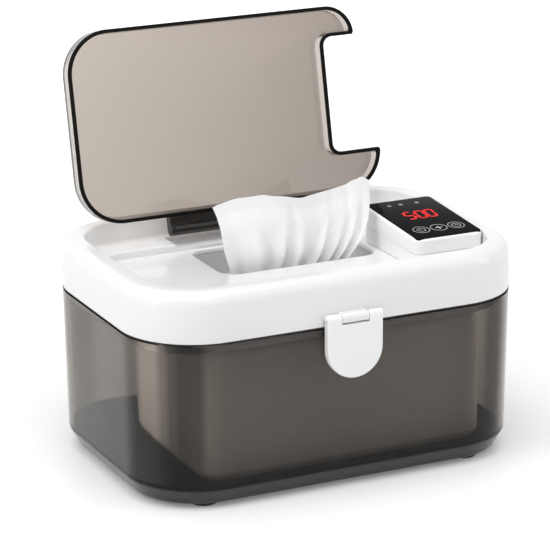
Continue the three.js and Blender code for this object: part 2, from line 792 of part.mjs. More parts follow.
// Pop-up wipe: one thin sheet that rises from the stack through the throat in upright folds.
function makeWipe() {
  const low = stackTop + seatGap;
  const positions = [];
  const indices = [];
  const perSheet = (wipeColumns + 1) * (wipeRows + 1);
  const wave = (u) => Math.sin(u * wipeFoldCount * Math.PI * 2)
    + Math.sin(u * wipeFoldCount * Math.PI + 1) / 2;
  for (const face of [-1, 1]) {
    for (let row = 0; row <= wipeRows; row++) {
      const v = row / wipeRows;
      const width = wipeBottomWidth + (wipeTopWidth - wipeBottomWidth) * v;
      const folds = wipeFoldDepth * (1 - v / 2);
      for (let column = 0; column <= wipeColumns; column++) {
        const u = column / wipeColumns;
        const dip = wipeTopDip * v * Math.sin(u * Math.PI);
        positions.push(
          wipeCentreX + (u - 1 / 2) * width,
          wipeCentreY + folds * wave(u) + wipeLean * v * v + face * wipeThickness / 2,
          low + (wipeHeight - dip) * v,
        );
      }
    }
  }
  const at = (sheet, row, column) => sheet * perSheet + row * (wipeColumns + 1) + column;
  const quad = (a, b, c, d) => indices.push(a, b, c, a, c, d);
  for (let row = 0; row < wipeRows; row++) {
    for (let column = 0; column < wipeColumns; column++) {
      quad(at(0, row, column), at(0, row, column + 1), at(0, row + 1, column + 1),
        at(0, row + 1, column));
      quad(at(1, row, column), at(1, row + 1, column), at(1, row + 1, column + 1),
        at(1, row, column + 1));
    }
    quad(at(0, row, 0), at(0, row + 1, 0), at(1, row + 1, 0), at(1, row, 0));
    quad(at(0, row, wipeColumns), at(1, row, wipeColumns), at(1, row + 1, wipeColumns),
      at(0, row + 1, wipeColumns));
  }
  for (let column = 0; column < wipeColumns; column++) {
    quad(at(0, 0, column), at(1, 0, column), at(1, 0, column + 1), at(0, 0, column + 1));
    quad(at(0, wipeRows, column), at(0, wipeRows, column + 1), at(1, wipeRows, column + 1),
      at(1, wipeRows, column));
  }
  const geometry = new THREE.BufferGeometry();
  geometry.setAttribute('position', new THREE.Float32BufferAttribute(positions, 3));
  geometry.setIndex(indices);
  return toSolid(geometry);
}
place(cover, 'popup_wipe', makeWipe(), plastic(0xfafafa, 0.95));

// Lid: a shallow clear tray with a notch round the control housing and a tongue to its pin.
// It is drawn closed, about its hinge axis, and its group turns it open.
// The horn before the notch is shorter and rounder than the one behind it.
function lidBlock(inset, low, high) {
  const whole = slab(lidLeft + inset, lidFront + inset, lidRight - inset, lidRear - inset,
    low, high, lidRadius - inset);
  const notchX = housingLeft - lidNotchGap - inset;
  const notchFront = housingFront - lidNotchGap - inset;
  const notchRear = housingRear + lidNotchGap + inset;
  const notch = slab(notchX, notchFront, lidRight * 2, notchRear, low - cutOverrun,
    high + cutOverrun, lidNotchRadius + inset);
  const hornReach = slab(lidLeft - lidRadius * 2, lidFront + inset,
    lidRight - lidHornShortfall - inset, lidRear, low, high, lidHornRadius - inset)
    .add(box(lidLeft, (notchFront + notchRear) / 2, low, lidRight, lidRear, high));
  return whole.intersect(hornReach).subtract(notch);
}

function makeLid() {
  const low = lidTop - lidHeight;
  const blank = lidBlock(0, low, lidTop - lidPlate / 2)
    .add(lidBlock(lidPlate / 2, lidTop - lidPlate, lidTop));
  const tray = blank.subtract(lidBlock(lidWall, low - cutOverrun, lidTop - lidPlate));
  const tongueTop = lidAxisZ + tongueRise;
  let tongue = box(tongueLeft, lidRear - lidWall / 2, tongueTop - tongueThickness,
    tongueRight, lidAxisY, tongueTop)
    .add(barX(tongueLeft, tongueRight, lidAxisY, lidAxisZ, barrelRadius));
  for (const x0 of earPlaces) {
    tongue = tongue.subtract(box(x0 - runningGap, lidAxisY - earRadius - runningGap,
      lidAxisZ - barrelRadius * 2, x0 + earWidth + runningGap, lidAxisY + barrelRadius * 2,
      lidAxisZ + barrelRadius * 2));
  }
  return tray.add(tongue).subtract(barX(tongueLeft + lidPinInset - runningGap,
    tongueRight - lidPinInset + runningGap, lidAxisY, lidAxisZ, lidPinRadius + runningGap));
}
lid.position.set(0, lidAxisY, lidAxisZ);
lid.rotation.x = -THREE.MathUtils.degToRad(lidOpenAngle);
place(lid, 'clear_lid', makeLid().translate([0, -lidAxisY, -lidAxisZ]), smoked());

// Latch: a white flap with a half-round foot, hung on its pin either side of the cover's boss.
function makeLatch() {
  const half = latchWidth / 2;
  const faceY = -bodyDepth / 2 - latchStandOff;
  const frontY = faceY - latchThickness;
  const shape = new THREE.Shape();
  shape.moveTo(half, latchAxisZ);
  shape.lineTo(-half, latchAxisZ);
  shape.lineTo(-half, latchBottom + half);
  shape.absarc(0, latchBottom + half, half, Math.PI, Math.PI * 2, false);
  shape.closePath();
  const flap = new THREE.ExtrudeGeometry(shape, {
    depth: latchThickness, bevelEnabled: false, curveSegments: cornerSteps * 2,
  });
  flap.rotateX(Math.PI / 2);
  flap.translate(0, faceY, 0);
  const notchX = latchBossWidth / 2 + runningGap;
  const notchLow = latchAxisZ - latchBarrelRadius - runningGap;
  let solid = toSolid(flap).add(barX(-half, half, latchAxisY, latchAxisZ, latchBarrelRadius));
  solid = solid.subtract(box(-notchX, frontY - cutOverrun, notchLow, notchX,
    faceY + cutOverrun * 2, latchAxisZ + latchBarrelRadius * 2));
  const hookTop = seamHeight - catchDrop - catchHeight - runningGap;
  const hook = box(-catchWidth / 2, faceY - latchThickness / 2, hookTop - catchHeight,
    catchWidth / 2, faceY + latchStandOff / 2, hookTop);
  return solid.add(hook).subtract(barX(-latchWidth, latchWidth, latchAxisY, latchAxisZ,
    latchPinRadius + runningGap));
}
place(latch, 'latch_flap', makeLatch(), plastic(0xf2f2f2, 0.3));

export default warmer;
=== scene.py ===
import math

import bpy
from mathutils import Matrix, Vector


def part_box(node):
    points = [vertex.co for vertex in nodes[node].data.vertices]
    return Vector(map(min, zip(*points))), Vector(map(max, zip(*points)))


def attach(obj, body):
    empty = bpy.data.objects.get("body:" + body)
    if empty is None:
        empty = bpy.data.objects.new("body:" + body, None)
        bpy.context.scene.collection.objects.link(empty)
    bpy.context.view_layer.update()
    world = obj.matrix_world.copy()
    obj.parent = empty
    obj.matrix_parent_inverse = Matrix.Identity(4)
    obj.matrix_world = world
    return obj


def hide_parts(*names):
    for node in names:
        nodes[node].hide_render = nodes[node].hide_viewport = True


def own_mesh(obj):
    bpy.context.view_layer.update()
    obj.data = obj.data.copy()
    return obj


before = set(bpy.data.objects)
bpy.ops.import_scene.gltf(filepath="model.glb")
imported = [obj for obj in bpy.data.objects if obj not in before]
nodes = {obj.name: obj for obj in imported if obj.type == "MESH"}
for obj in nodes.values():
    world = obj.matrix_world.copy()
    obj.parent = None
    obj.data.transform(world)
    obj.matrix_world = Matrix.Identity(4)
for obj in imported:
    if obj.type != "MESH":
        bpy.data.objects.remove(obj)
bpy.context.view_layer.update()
MM = 0.001


# Camera
# A long lens a little above the rim, from the front left, as a product photographer would stand.
# It makes nothing itself; it only frames the warmer.

VIEW_AZIMUTH = math.radians(-25.545)
VIEW_ELEVATION = math.radians(17.361)
VIEW_ROLL = math.radians(-0.32)
VIEW_TARGET = Vector((-6.06, 0.0, 95.02)) * MM
VIEW_DISTANCE = 1489.96 * MM
VIEW_LENS = 183.5
SENSOR_WIDTH = 36.0


def camera_axes():
    """The camera's right, up and backward directions."""
    a, e = VIEW_AZIMUTH, VIEW_ELEVATION
    back = Vector((math.sin(a) * math.cos(e), -math.cos(a) * math.cos(e), math.sin(e)))
    right = Vector((math.cos(a), math.sin(a), 0))
    up = back.cross(right)
    c, s = math.cos(VIEW_ROLL), math.sin(VIEW_ROLL)
    return right * c + up * s, up * c - right * s, back


def new_object(name, data):
    made = bpy.data.objects.new(name, data)
    bpy.context.scene.collection.objects.link(made)
    return made


def make_camera():
    right, up, back = camera_axes()
    data = bpy.data.cameras.new("studio_camera")
    data.lens = VIEW_LENS
    data.sensor_width = SENSOR_WIDTH
    camera = new_object("studio_camera", data)
    turn = Matrix((right, up, back)).transposed().to_4x4()
    camera.matrix_world = Matrix.Translation(VIEW_TARGET + back * VIEW_DISTANCE) @ turn
    bpy.context.scene.camera = camera


make_camera()
bpy.context.scene.view_settings.view_transform = "Standard"


# Studio floor and light
# A seamless white table under soft boxes: one overhead, a tall strip on each side and a low
# front fill. The table shows as white from afar and keeps the warmer's shadow.

FLOOR_SIZE = 12.0
FLOOR_WHITE = 0.97
FLOOR_GLOW_NEAR = 0.15
FLOOR_GLOW_FAR = 0.7
GLOW_STARTS = 0.25
GLOW_FULL = 1.2
WORLD_WHITE = 0.92
WORLD_STRENGTH = 0.5
LAMP_AIM = Vector((0, 0, 0.09))
SOFT_BOXES = (("overhead_box", (-0.2, -0.2, 1.3), 1.2, 1.0, 10),
              ("left_strip", (-1.2, -0.1, 0.6), 0.35, 1.1, 4),
              ("right_strip", (1.1, -0.75, 0.5), 0.3, 1.0, 2),
              ("front_fill", (0.15, -1.6, 0.75), 1.4, 0.9, 0.9))


def fill(holder, values):
    """Sets inputs by name; an underscore stands for a space in an input's name."""
    for name, value in values.items():
        holder.inputs[name.replace("_", " ")].default_value = value


def node(tree, kind, source=None, **values):
    """A new shader node with its inputs set, fed by a socket where one is given."""
    made = tree.nodes.new("ShaderNode" + kind)
    fill(made, values)
    if source:
        tree.links.new(source, made.inputs[0])
    return made


def worked_out(tree, operation, *terms):
    """The outcome of a math node on sockets and numbers."""
    made = tree.nodes.new("ShaderNodeMath")
    made.operation = operation
    for socket, term in zip(made.inputs, terms):
        if isinstance(term, bpy.types.NodeSocket):
            tree.links.new(term, socket)
        else:
            socket.default_value = term
    return made.outputs[0]


def mixed(tree, share, first, second):
    """One shader where the share is zero and the other where it is one."""
    mix = tree.nodes.new("ShaderNodeMixShader")
    for source, socket in zip((share, first.outputs[0], second.outputs[0]), mix.inputs):
        tree.links.new(source, socket)
    return mix.outputs[0]


def new_material(name, **values):
    material = bpy.data.materials.new(name)
    material.use_nodes = True
    return tuned(material, **values)


def shader_of(material):
    return material.node_tree.nodes["Principled BSDF"]


def tuned(material, **values):
    """The same material with inputs of its shader set."""
    fill(shader_of(material), values)
    return material


def ray_is_seen(tree):
    """One where a ray comes from the camera, from gloss or through clear plastic, else zero."""
    path = node(tree, "LightPath")
    seen = path.outputs["Is Camera Ray"]
    for kind in ("Is Glossy Ray", "Is Transmission Ray"):
        seen = worked_out(tree, "MAXIMUM", seen, path.outputs[kind])
    return seen


def floor_material():
    """Matt white that glows more the further it lies from the warmer."""
    material = new_material("studio_floor", Base_Color=(FLOOR_WHITE, FLOOR_WHITE, FLOOR_WHITE, 1),
                            Roughness=0.45, Specular_IOR_Level=0.25)
    tree = material.node_tree
    away = node(tree, "VectorMath", node(tree, "TexCoord").outputs["Object"])
    away.operation = "LENGTH"
    far = node(tree, "MapRange", away.outputs["Value"], From_Min=GLOW_STARTS, From_Max=GLOW_FULL,
               To_Min=FLOOR_GLOW_NEAR, To_Max=FLOOR_GLOW_FAR)
    glow = node(tree, "Emission", Color=(1, 1, 1, 1))
    strength = worked_out(tree, "MULTIPLY", ray_is_seen(tree), far.outputs["Result"])
    tree.links.new(strength, glow.inputs["Strength"])
    both = node(tree, "AddShader", shader_of(material).outputs[0])
    tree.links.new(glow.outputs[0], both.inputs[1])
    tree.links.new(both.outputs[0], tree.nodes["Material Output"].inputs["Surface"])
    return material


def make_floor():
    mesh = bpy.data.meshes.new("studio_floor")
    half = FLOOR_SIZE / 2
    mesh.from_pydata([(-half, -half, 0), (half, -half, 0), (half, half, 0), (-half, half, 0)],
                     [], [(0, 1, 2, 3)])
    mesh.materials.append(floor_material())
    new_object("studio_floor", mesh)


def make_world():
    world = bpy.data.worlds.new("studio_world")
    world.use_nodes = True
    tree = world.node_tree
    plain = tree.nodes["Background"]
    fill(plain, {"Color": (WORLD_WHITE, WORLD_WHITE, WORLD_WHITE, 1), "Strength": WORLD_STRENGTH})
    seen = node(tree, "Background", Color=(1, 1, 1, 1), Strength=1.0)
    tree.links.new(mixed(tree, ray_is_seen(tree), plain, seen),
                   tree.nodes["World Output"].inputs["Surface"])
    bpy.context.scene.world = world


def soft_box(name, place, width, height, power):
    data = bpy.data.lights.new(name, "AREA")
    data.shape = "RECTANGLE"
    data.size = width
    data.size_y = height
    data.energy = power
    lamp = new_object(name, data)
    lamp.location = place
    lamp.rotation_euler = (LAMP_AIM - Vector(place)).to_track_quat("-Z", "Y").to_euler()


make_floor()
make_world()
for box in SOFT_BOXES:
    soft_box(*box)


# Tub
# The box that holds the wipes: one injection moulding in smoked clear plastic, with drafted
# walls, a chamfered foot, two hinge ears behind and a catch rib in front for the latch.

gasket_low, gasket_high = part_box("seam_gasket")
GASKET_INSET = 0.5 * MM
HALF_X = gasket_high.x + GASKET_INSET
HALF_Y = gasket_high.y + GASKET_INSET
CORNER = 41 * MM
TUB_WALL = 2.4 * MM
TUB_FLOOR = 3 * MM
TUB_DRAFT = 1.4 * MM
CHAMFER_HEIGHT = 8.8 * MM
CHAMFER_INSET = 4.2 * MM
BASE_ROUNDING = 1.4 * MM
BEND_BELOW = 0.9 * MM
BEND_ABOVE = 1.2 * MM
BEND_INSETS = (0.5 * MM, 0.1 * MM)
CUT = 2 * MM
SMOKE_TINT = (0.48, 0.453, 0.428, 1)
SMOKE_DYE = (0.56, 0.53, 0.50, 1)
SMOKE_DENSITY = 230.0
TUB_IOR = 1.3
# Painted light: places round each corner as shares of a quarter turn, and how much lighter or
# darker the tint is drawn there, as painted highlights and painted shade.
CORNER_PAINTED_LIGHT = ((0.0, 1.15), (0.04, 1.1), (0.1, 0.75), (0.17, 0.9), (0.26, 2.0), (0.38, 2.0),
           (0.46, 1.15), (0.53, 0.6), (0.62, 0.33), (0.75, 0.37), (0.86, 0.9), (0.93, 0.98),
           (1.0, 0.97))
TUB_TOP = gasket_low.z - 0.3 * MM
TUB_BOTTOM = 2.2 * MM
REAR_AXIS = Vector((0, HALF_Y + 2.9 * MM, 89.4 * MM))
REAR_SPREAD = 58 * MM
REAR_KNUCKLE = 12 * MM
REAR_EAR = 6 * MM
REAR_RADIUS = 2.6 * MM
RUNNING_GAP = 0.3 * MM
CATCH_TOP = 69 * MM
CATCH_HEIGHT = 1.6 * MM
CATCH_HALF_WIDTH = 8 * MM
CATCH_REACH = 0.9 * MM
CATCH_ROOT = 2.2 * MM
FINE_RELIEF = 0.05 * MM
FACES_UP = 0.35
FACES_OUT_AND_DOWN = (-0.9, -0.2)
MOULD_EDGE = 0.35 * MM


def arc(cx, cy, radius, start, end, steps):
    """Points along an arc between two angles in degrees."""
    turns = [math.radians(start + (end - start) * i / steps) for i in range(steps + 1)]
    return [(cx + radius * math.cos(turn), cy + radius * math.sin(turn)) for turn in turns]


def rounded_outline(x0, y0, x1, y1, radius, steps=16):
    """A rounded rectangle as points that run anticlockwise from its lower right corner."""
    r = max(min(radius, (x1 - x0) / 2, (y1 - y0) / 2), 0.05 * MM)
    points = []
    for cx, cy, start in ((x1 - r, y0 + r, -90), (x1 - r, y1 - r, 0),
                          (x0 + r, y1 - r, 90), (x0 + r, y0 + r, 180)):
        points += arc(cx, cy, r, start, start + 90, steps)
    return points


def skin(name, levels):
    """A closed mesh skinned through outlines, each one a list of points and a height."""
    count = len(levels[0][0])
    points = [(x, y, z) for outline, z in levels for x, y in outline]
    faces = []
    for level in range(len(levels) - 1):
        for i in range(count):
            a = level * count + i
            b = level * count + (i + 1) % count
            faces.append((a, b, b + count, a + count))
    top = (len(levels) - 1) * count
    faces.append(tuple(range(count - 1, -1, -1)))
    faces.append(tuple(range(top, top + count)))
    mesh = bpy.data.meshes.new(name)
    mesh.from_pydata(points, [], faces)
    return new_object(name, mesh)


def body_skin(name, profile):
    """A form with the body's outline, from insets and heights."""
    levels = []
    for inset, z in profile:
        x, y = HALF_X - inset, HALF_Y - inset
        levels.append((rounded_outline(-x, -y, x, y, CORNER - inset), z))
    return skin(name, levels)


def quarter(inset_low, z_low, inset_high, z_high, steps=8):
    """Profile points of an outward quarter round between two insets."""
    points = []
    for i in range(1, steps + 1):
        angle = math.radians(90 * i / steps)
        points.append((inset_low + (inset_high - inset_low) * (1 - math.cos(angle)),
                       z_low + (z_high - z_low) * math.sin(angle)))
    return points


def slab(name, x0, y0, x1, y1, z0, z1, radius):
    outline = rounded_outline(x0, y0, x1, y1, radius)
    return skin(name, [(outline, z0), (outline, z1)])


def ring(x, y, radius, steps):
    turns = [2 * math.pi * i / steps for i in range(steps)]
    return [(x + radius * math.cos(turn), y + radius * math.sin(turn)) for turn in turns]


def bar_x(name, x0, x1, y, z, radius):
    """A round bar along X."""
    outline = ring(0, 0, radius, 40)
    made = skin(name, [(outline, x0), (outline, x1)])
    for vertex in made.data.vertices:
        a, b, x = vertex.co
        vertex.co = (x, y + a, z + b)
    return made


def block(name, low, high):
    """A sharp block, used only to join or cut."""
    outline = [(high[0], low[1]), (high[0], high[1]), (low[0], high[1]), (low[0], low[1])]
    return skin(name, [(outline, low[2]), (outline, high[2])])


def settle(piece):
    """Keeps what a piece's modifiers make as its own mesh."""
    graph = bpy.context.evaluated_depsgraph_get()
    mesh = bpy.data.meshes.new_from_object(piece.evaluated_get(graph))
    piece.modifiers.clear()
    piece.data = mesh


def combine(blank, tool, operation):
    """Joins or cuts one mesh with another, and throws the tool away."""
    modifier = blank.modifiers.new("join", "BOOLEAN")
    modifier.operation = operation
    modifier.solver = "EXACT"
    modifier.object = tool
    settle(blank)
    bpy.data.objects.remove(tool)
    return blank


def cut(blank, tool):
    return combine(blank, tool, "DIFFERENCE")


def join(blank, tool):
    return combine(blank, tool, "UNION")


def soften(piece, width, segments=2, angle=40):
    """Breaks the moulding's sharp edges with a small bevel, then shades it smooth."""
    modifier = piece.modifiers.new("edge_break", "BEVEL")
    modifier.width = width
    modifier.segments = segments
    modifier.limit_method = "ANGLE"
    modifier.angle_limit = math.radians(angle)
    shade(piece, angle)


def shade(piece, angle=32):
    piece.data.shade_smooth()
    piece.data.set_sharp_from_angle(angle=math.radians(angle))


def dress(piece, body, slot, material, *replaced):
    """Gives a finished piece its material and body, and hides what it stands for. The slot is not
    used.
    """
    piece.data.materials.clear()
    piece.data.materials.append(material)
    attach(piece, body)
    if replaced:
        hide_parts(*replaced)
    return piece


def plastic(name, color, roughness, grain=0.0, grain_scale=900.0, coat=0.0, spread=0.05):
    """A moulded plastic with faint uneven gloss and, where asked, a fine moulded grain."""
    material = new_material(name, Base_Color=color, Coat_Weight=coat)
    tree = material.node_tree
    place = node(tree, "TexCoord").outputs["Object"]
    cloud = node(tree, "TexNoise", place, Scale=38.0, Detail=4.0)
    gloss = node(tree, "MapRange", cloud.outputs["Fac"], To_Min=max(roughness - spread, 0.01),
                 To_Max=roughness + spread)
    tree.links.new(gloss.outputs["Result"], shader_of(material).inputs["Roughness"])
    if grain:
        fine = node(tree, "TexNoise", place, Scale=grain_scale, Detail=3.0)
        embossed(material, fine.outputs["Fac"], grain, FINE_RELIEF)
    return material


def embossed(material, height, strength, depth):
    """Gives a material's face a fine relief."""
    tree = material.node_tree
    bump = node(tree, "Bump", Strength=strength, Distance=depth)
    tree.links.new(height, bump.inputs["Height"])
    tree.links.new(bump.outputs["Normal"], shader_of(material).inputs["Normal"])


def smoked_plastic(name, tint, dye_color=None, dye_density=0.0, ior=1.49):
    """Clear tinted plastic. A dye, where given, darkens what lies behind by the plastic's depth.
    Lamps shine through it as through real clear plastic."""
    material = tuned(plastic(name, tint, 0.05, spread=0.02), Transmission_Weight=1.0, IOR=ior)
    tree = material.node_tree
    output = tree.nodes["Material Output"]
    once = tuple(math.sqrt(part) for part in tint[:3]) + (1,)
    clear = node(tree, "BsdfTransparent", Color=once)
    shadow = node(tree, "LightPath").outputs["Is Shadow Ray"]
    tree.links.new(mixed(tree, shadow, shader_of(material), clear), output.inputs["Surface"])
    if dye_color:
        dye = node(tree, "VolumeAbsorption", Color=dye_color, Density=dye_density)
        tree.links.new(dye.outputs["Volume"], output.inputs["Volume"])
    return material


def tub_profile(inset, floor):
    """Insets and heights up the tub's outside, or up its inside over a floor."""
    bend = TUB_BOTTOM + CHAMFER_HEIGHT + floor / 2
    lip = CUT if inset else 0
    foot = TUB_DRAFT + CHAMFER_INSET
    return [
        (foot + BASE_ROUNDING * 1.6 + inset, TUB_BOTTOM + floor),
        (foot + BASE_ROUNDING * 0.5 + inset, TUB_BOTTOM + floor + BASE_ROUNDING * 0.3),
        (foot + inset, TUB_BOTTOM + floor + BASE_ROUNDING),
        (TUB_DRAFT + BEND_INSETS[0] + inset, bend - BEND_BELOW),
        (TUB_DRAFT + BEND_INSETS[1] + inset, bend),
        (TUB_DRAFT * 0.9 + inset, bend + BEND_ABOVE),
        (inset, TUB_TOP + lip),
    ]


def make_tub():
    tub = body_skin("smoked_tub", tub_profile(0, 0))
    tub = cut(tub, body_skin("tub_hollow", tub_profile(TUB_WALL, TUB_FLOOR)))
    for side in (-1, 1):
        for hand in (-1, 1):
            half = REAR_KNUCKLE / 2 + RUNNING_GAP
            x0 = side * REAR_SPREAD + (half if hand > 0 else -half - REAR_EAR)
            x1 = x0 + REAR_EAR
            low = REAR_AXIS.z - REAR_RADIUS * 2
            ear = bar_x("ear", x0, x1, REAR_AXIS.y, REAR_AXIS.z, REAR_RADIUS)
            ear = join(ear, block("toe", (x0, REAR_AXIS.y - REAR_RADIUS, low),
                                  (x1, REAR_AXIS.y + REAR_RADIUS, REAR_AXIS.z)))
            ear = join(ear, block("web", (x0, HALF_Y - TUB_WALL / 2, low),
                                  (x1, REAR_AXIS.y, TUB_TOP)))
            tub = join(tub, ear)
    tub = join(tub, block("catch", (-CATCH_HALF_WIDTH, -HALF_Y - CATCH_REACH,
                                    CATCH_TOP - CATCH_HEIGHT),
                          (CATCH_HALF_WIDTH, -HALF_Y + CATCH_ROOT, CATCH_TOP)))
    soften(tub, MOULD_EDGE, 2, 50)
    return tub


def ramped(material, share, stops, interpolation="LINEAR"):
    """Colours a material by a share from zero to one, through stops of place and colour."""
    tree = material.node_tree
    ramp = node(tree, "ValToRGB", share)
    ramp.color_ramp.interpolation = interpolation
    elements = ramp.color_ramp.elements
    elements[0].position, elements[1].position = stops[0][0], stops[-1][0]
    for place, _ in stops[1:-1]:
        elements.new(place)
    for element, (_, color) in zip(elements, stops):
        element.color = color
    tree.links.new(ramp.outputs["Color"], shader_of(material).inputs["Base Color"])
    return material


def tub_with_painted_corner_light():
    """The tub's plastic, with painted highlights and painted shade in upright streaks of tint
    round its corners.
    """
    material = smoked_plastic("smoked_tub", SMOKE_TINT, SMOKE_DYE, SMOKE_DENSITY, TUB_IOR)
    tree = material.node_tree
    parts = node(tree, "SeparateXYZ", node(tree, "TexCoord").outputs["Normal"])
    across, along = [worked_out(tree, "ABSOLUTE", parts.outputs[axis]) for axis in "YX"]
    turn = worked_out(tree, "DIVIDE", worked_out(tree, "ARCTAN2", across, along), math.pi / 2)
    stops = [(place, tuple(min(1.0, part * strength) for part in SMOKE_TINT[:3]) + (1,))
             for place, strength in CORNER_PAINTED_LIGHT]
    return ramped(material, turn, stops, "EASE")


tub = dress(make_tub(), "tub", "smoked_tub", tub_with_painted_corner_light(), "tub_shell")
# Painted shade: the tub's up-facing inner floor is drawn near black and its down-facing foot
# chamfer a dark tint, for the shade under the tub that shows through the clear plastic.
tub.data.materials.append(tuned(plastic("floor_painted_shade", (0.008, 0.008, 0.008, 1), 0.25), IOR=1.05))
tub.data.materials.append(smoked_plastic("foot_chamfer_painted_shade", (0.2, 0.185, 0.17, 1), ior=1.55))
chamfer_top = TUB_BOTTOM + CHAMFER_HEIGHT
for face in tub.data.polygons:
    if face.normal.z > FACES_UP and face.center.z < chamfer_top + TUB_FLOOR:
        face.material_index = 1
    elif (FACES_OUT_AND_DOWN[0] < face.normal.z < FACES_OUT_AND_DOWN[1]
          and face.center.z < chamfer_top):
        face.material_index = 2


# Feet
# Four black rubber buttons pressed into shallow sockets under the corners.
# The rubber is dull, with a slightly domed rim.

rubber = plastic("foot_rubber", (0.018, 0.018, 0.018, 1), 0.75, grain=0.4, grain_scale=2600.0)
for corner in ("front_left", "front_right", "rear_left", "rear_right"):
    low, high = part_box("foot_" + corner)
    centre = (low + high) / 2
    outline = ring(centre.x, centre.y, (high.x - low.x) / 2, 48)
    foot = skin("rubber_" + corner, [(outline, low.z), (outline, high.z)])
    soften(foot, 0.5 * MM, 3)
    dress(foot, "tub", "rubber_foot", rubber, "foot_" + corner)


# Seam gasket
# A thin black seal that lies on the tub's rim, all round, and shows as the dark line under
# the white cover.

SEAL_WIDTH = 3 * MM
seal_inner = GASKET_INSET + SEAL_WIDTH
seal = body_skin("seam_seal", [(GASKET_INSET, gasket_low.z), (GASKET_INSET, gasket_high.z)])
seal = cut(seal, body_skin("seal_hollow", [(seal_inner, gasket_low.z - CUT),
                                           (seal_inner, gasket_high.z + CUT)]))
soften(seal, 0.25 * MM)
dress(seal, "tub", "black_seal", plastic("seal_rubber", (0.012, 0.012, 0.012, 1), 0.6, grain=0.3),
      "seam_gasket")


# Cover
# The white lid of the tub: one glossy moulding with a broad rounded rim, a sunken deck, the
# dispensing opening, ears for the clear lid's pin, two rear knuckles and a boss for the latch.

COVER_BOTTOM = gasket_high.z + 0.3 * MM
COVER_TOP = 116.4 * MM
COVER_WALL = 2.6 * MM
COVER_LIP = 0.5 * MM
RIM_FILLET = 7 * MM
RIM_INNER_FILLET = 1.6 * MM
RECESS_INSET = 13.5 * MM
RECESS_FILLET = 1 * MM
LEDGE_INSET = 21 * MM
LEDGE_Z = 105.4 * MM
DECK_Z = 101.4 * MM
DECK_THICKNESS = 2.4 * MM
DECK_CORNER = 14 * MM
DECK_REAR = 42.6 * MM
DECK_EDGE = 0.6 * MM
OPENING = (-38.5 * MM, -8 * MM, 52 * MM, 41 * MM)
OPENING_CORNER = 9 * MM
OPENING_EDGE = 1.1 * MM
LID_AXIS = Vector((0, 50.6 * MM, 111.5 * MM))
TONGUE_LEFT = -44.5 * MM
TONGUE_RIGHT = 36.4 * MM
LID_EAR = 4.6 * MM
EAR_PLACES = (TONGUE_LEFT + 40 * MM, TONGUE_RIGHT - 12 * MM - LID_EAR)
LID_PIN_INSET = 3 * MM
LID_EAR_RADIUS = 4.2 * MM
POCKET_REAR = 57.5 * MM
POCKET_FLOOR = LEDGE_Z - 2.4 * MM
HOUSING = (55.8 * MM, -43 * MM, 97.6 * MM, 19 * MM)
HOUSING_CORNER = 6 * MM
LATCH_AXIS = Vector((0, -HALF_Y - 2.9 * MM, 94.3 * MM))
BOSS_WIDTH = 15.2 * MM
BOSS_RADIUS = 2.6 * MM
HOUSING_GAP = 0.6 * MM
INLET_HOLE = (63.7 * MM, 92.8 * MM, 76.3 * MM, 99 * MM)


def grown(rectangle, margin):
    x0, y0, x1, y1 = rectangle
    return x0 - margin, y0 - margin, x1 + margin, y1 + margin


def flared_cutter(name, rectangle, corner, low, brim_z, top, edge):
    """A cutter whose mouth widens in a quarter round, so that the hole's brim is rounded."""
    profile = [(0, low), (0, brim_z - edge), *quarter(0, brim_z - edge, edge, brim_z, 6),
               (edge, top)]
    return skin(name, [(rounded_outline(*grown(rectangle, out), corner + out), z)
                       for out, z in profile])


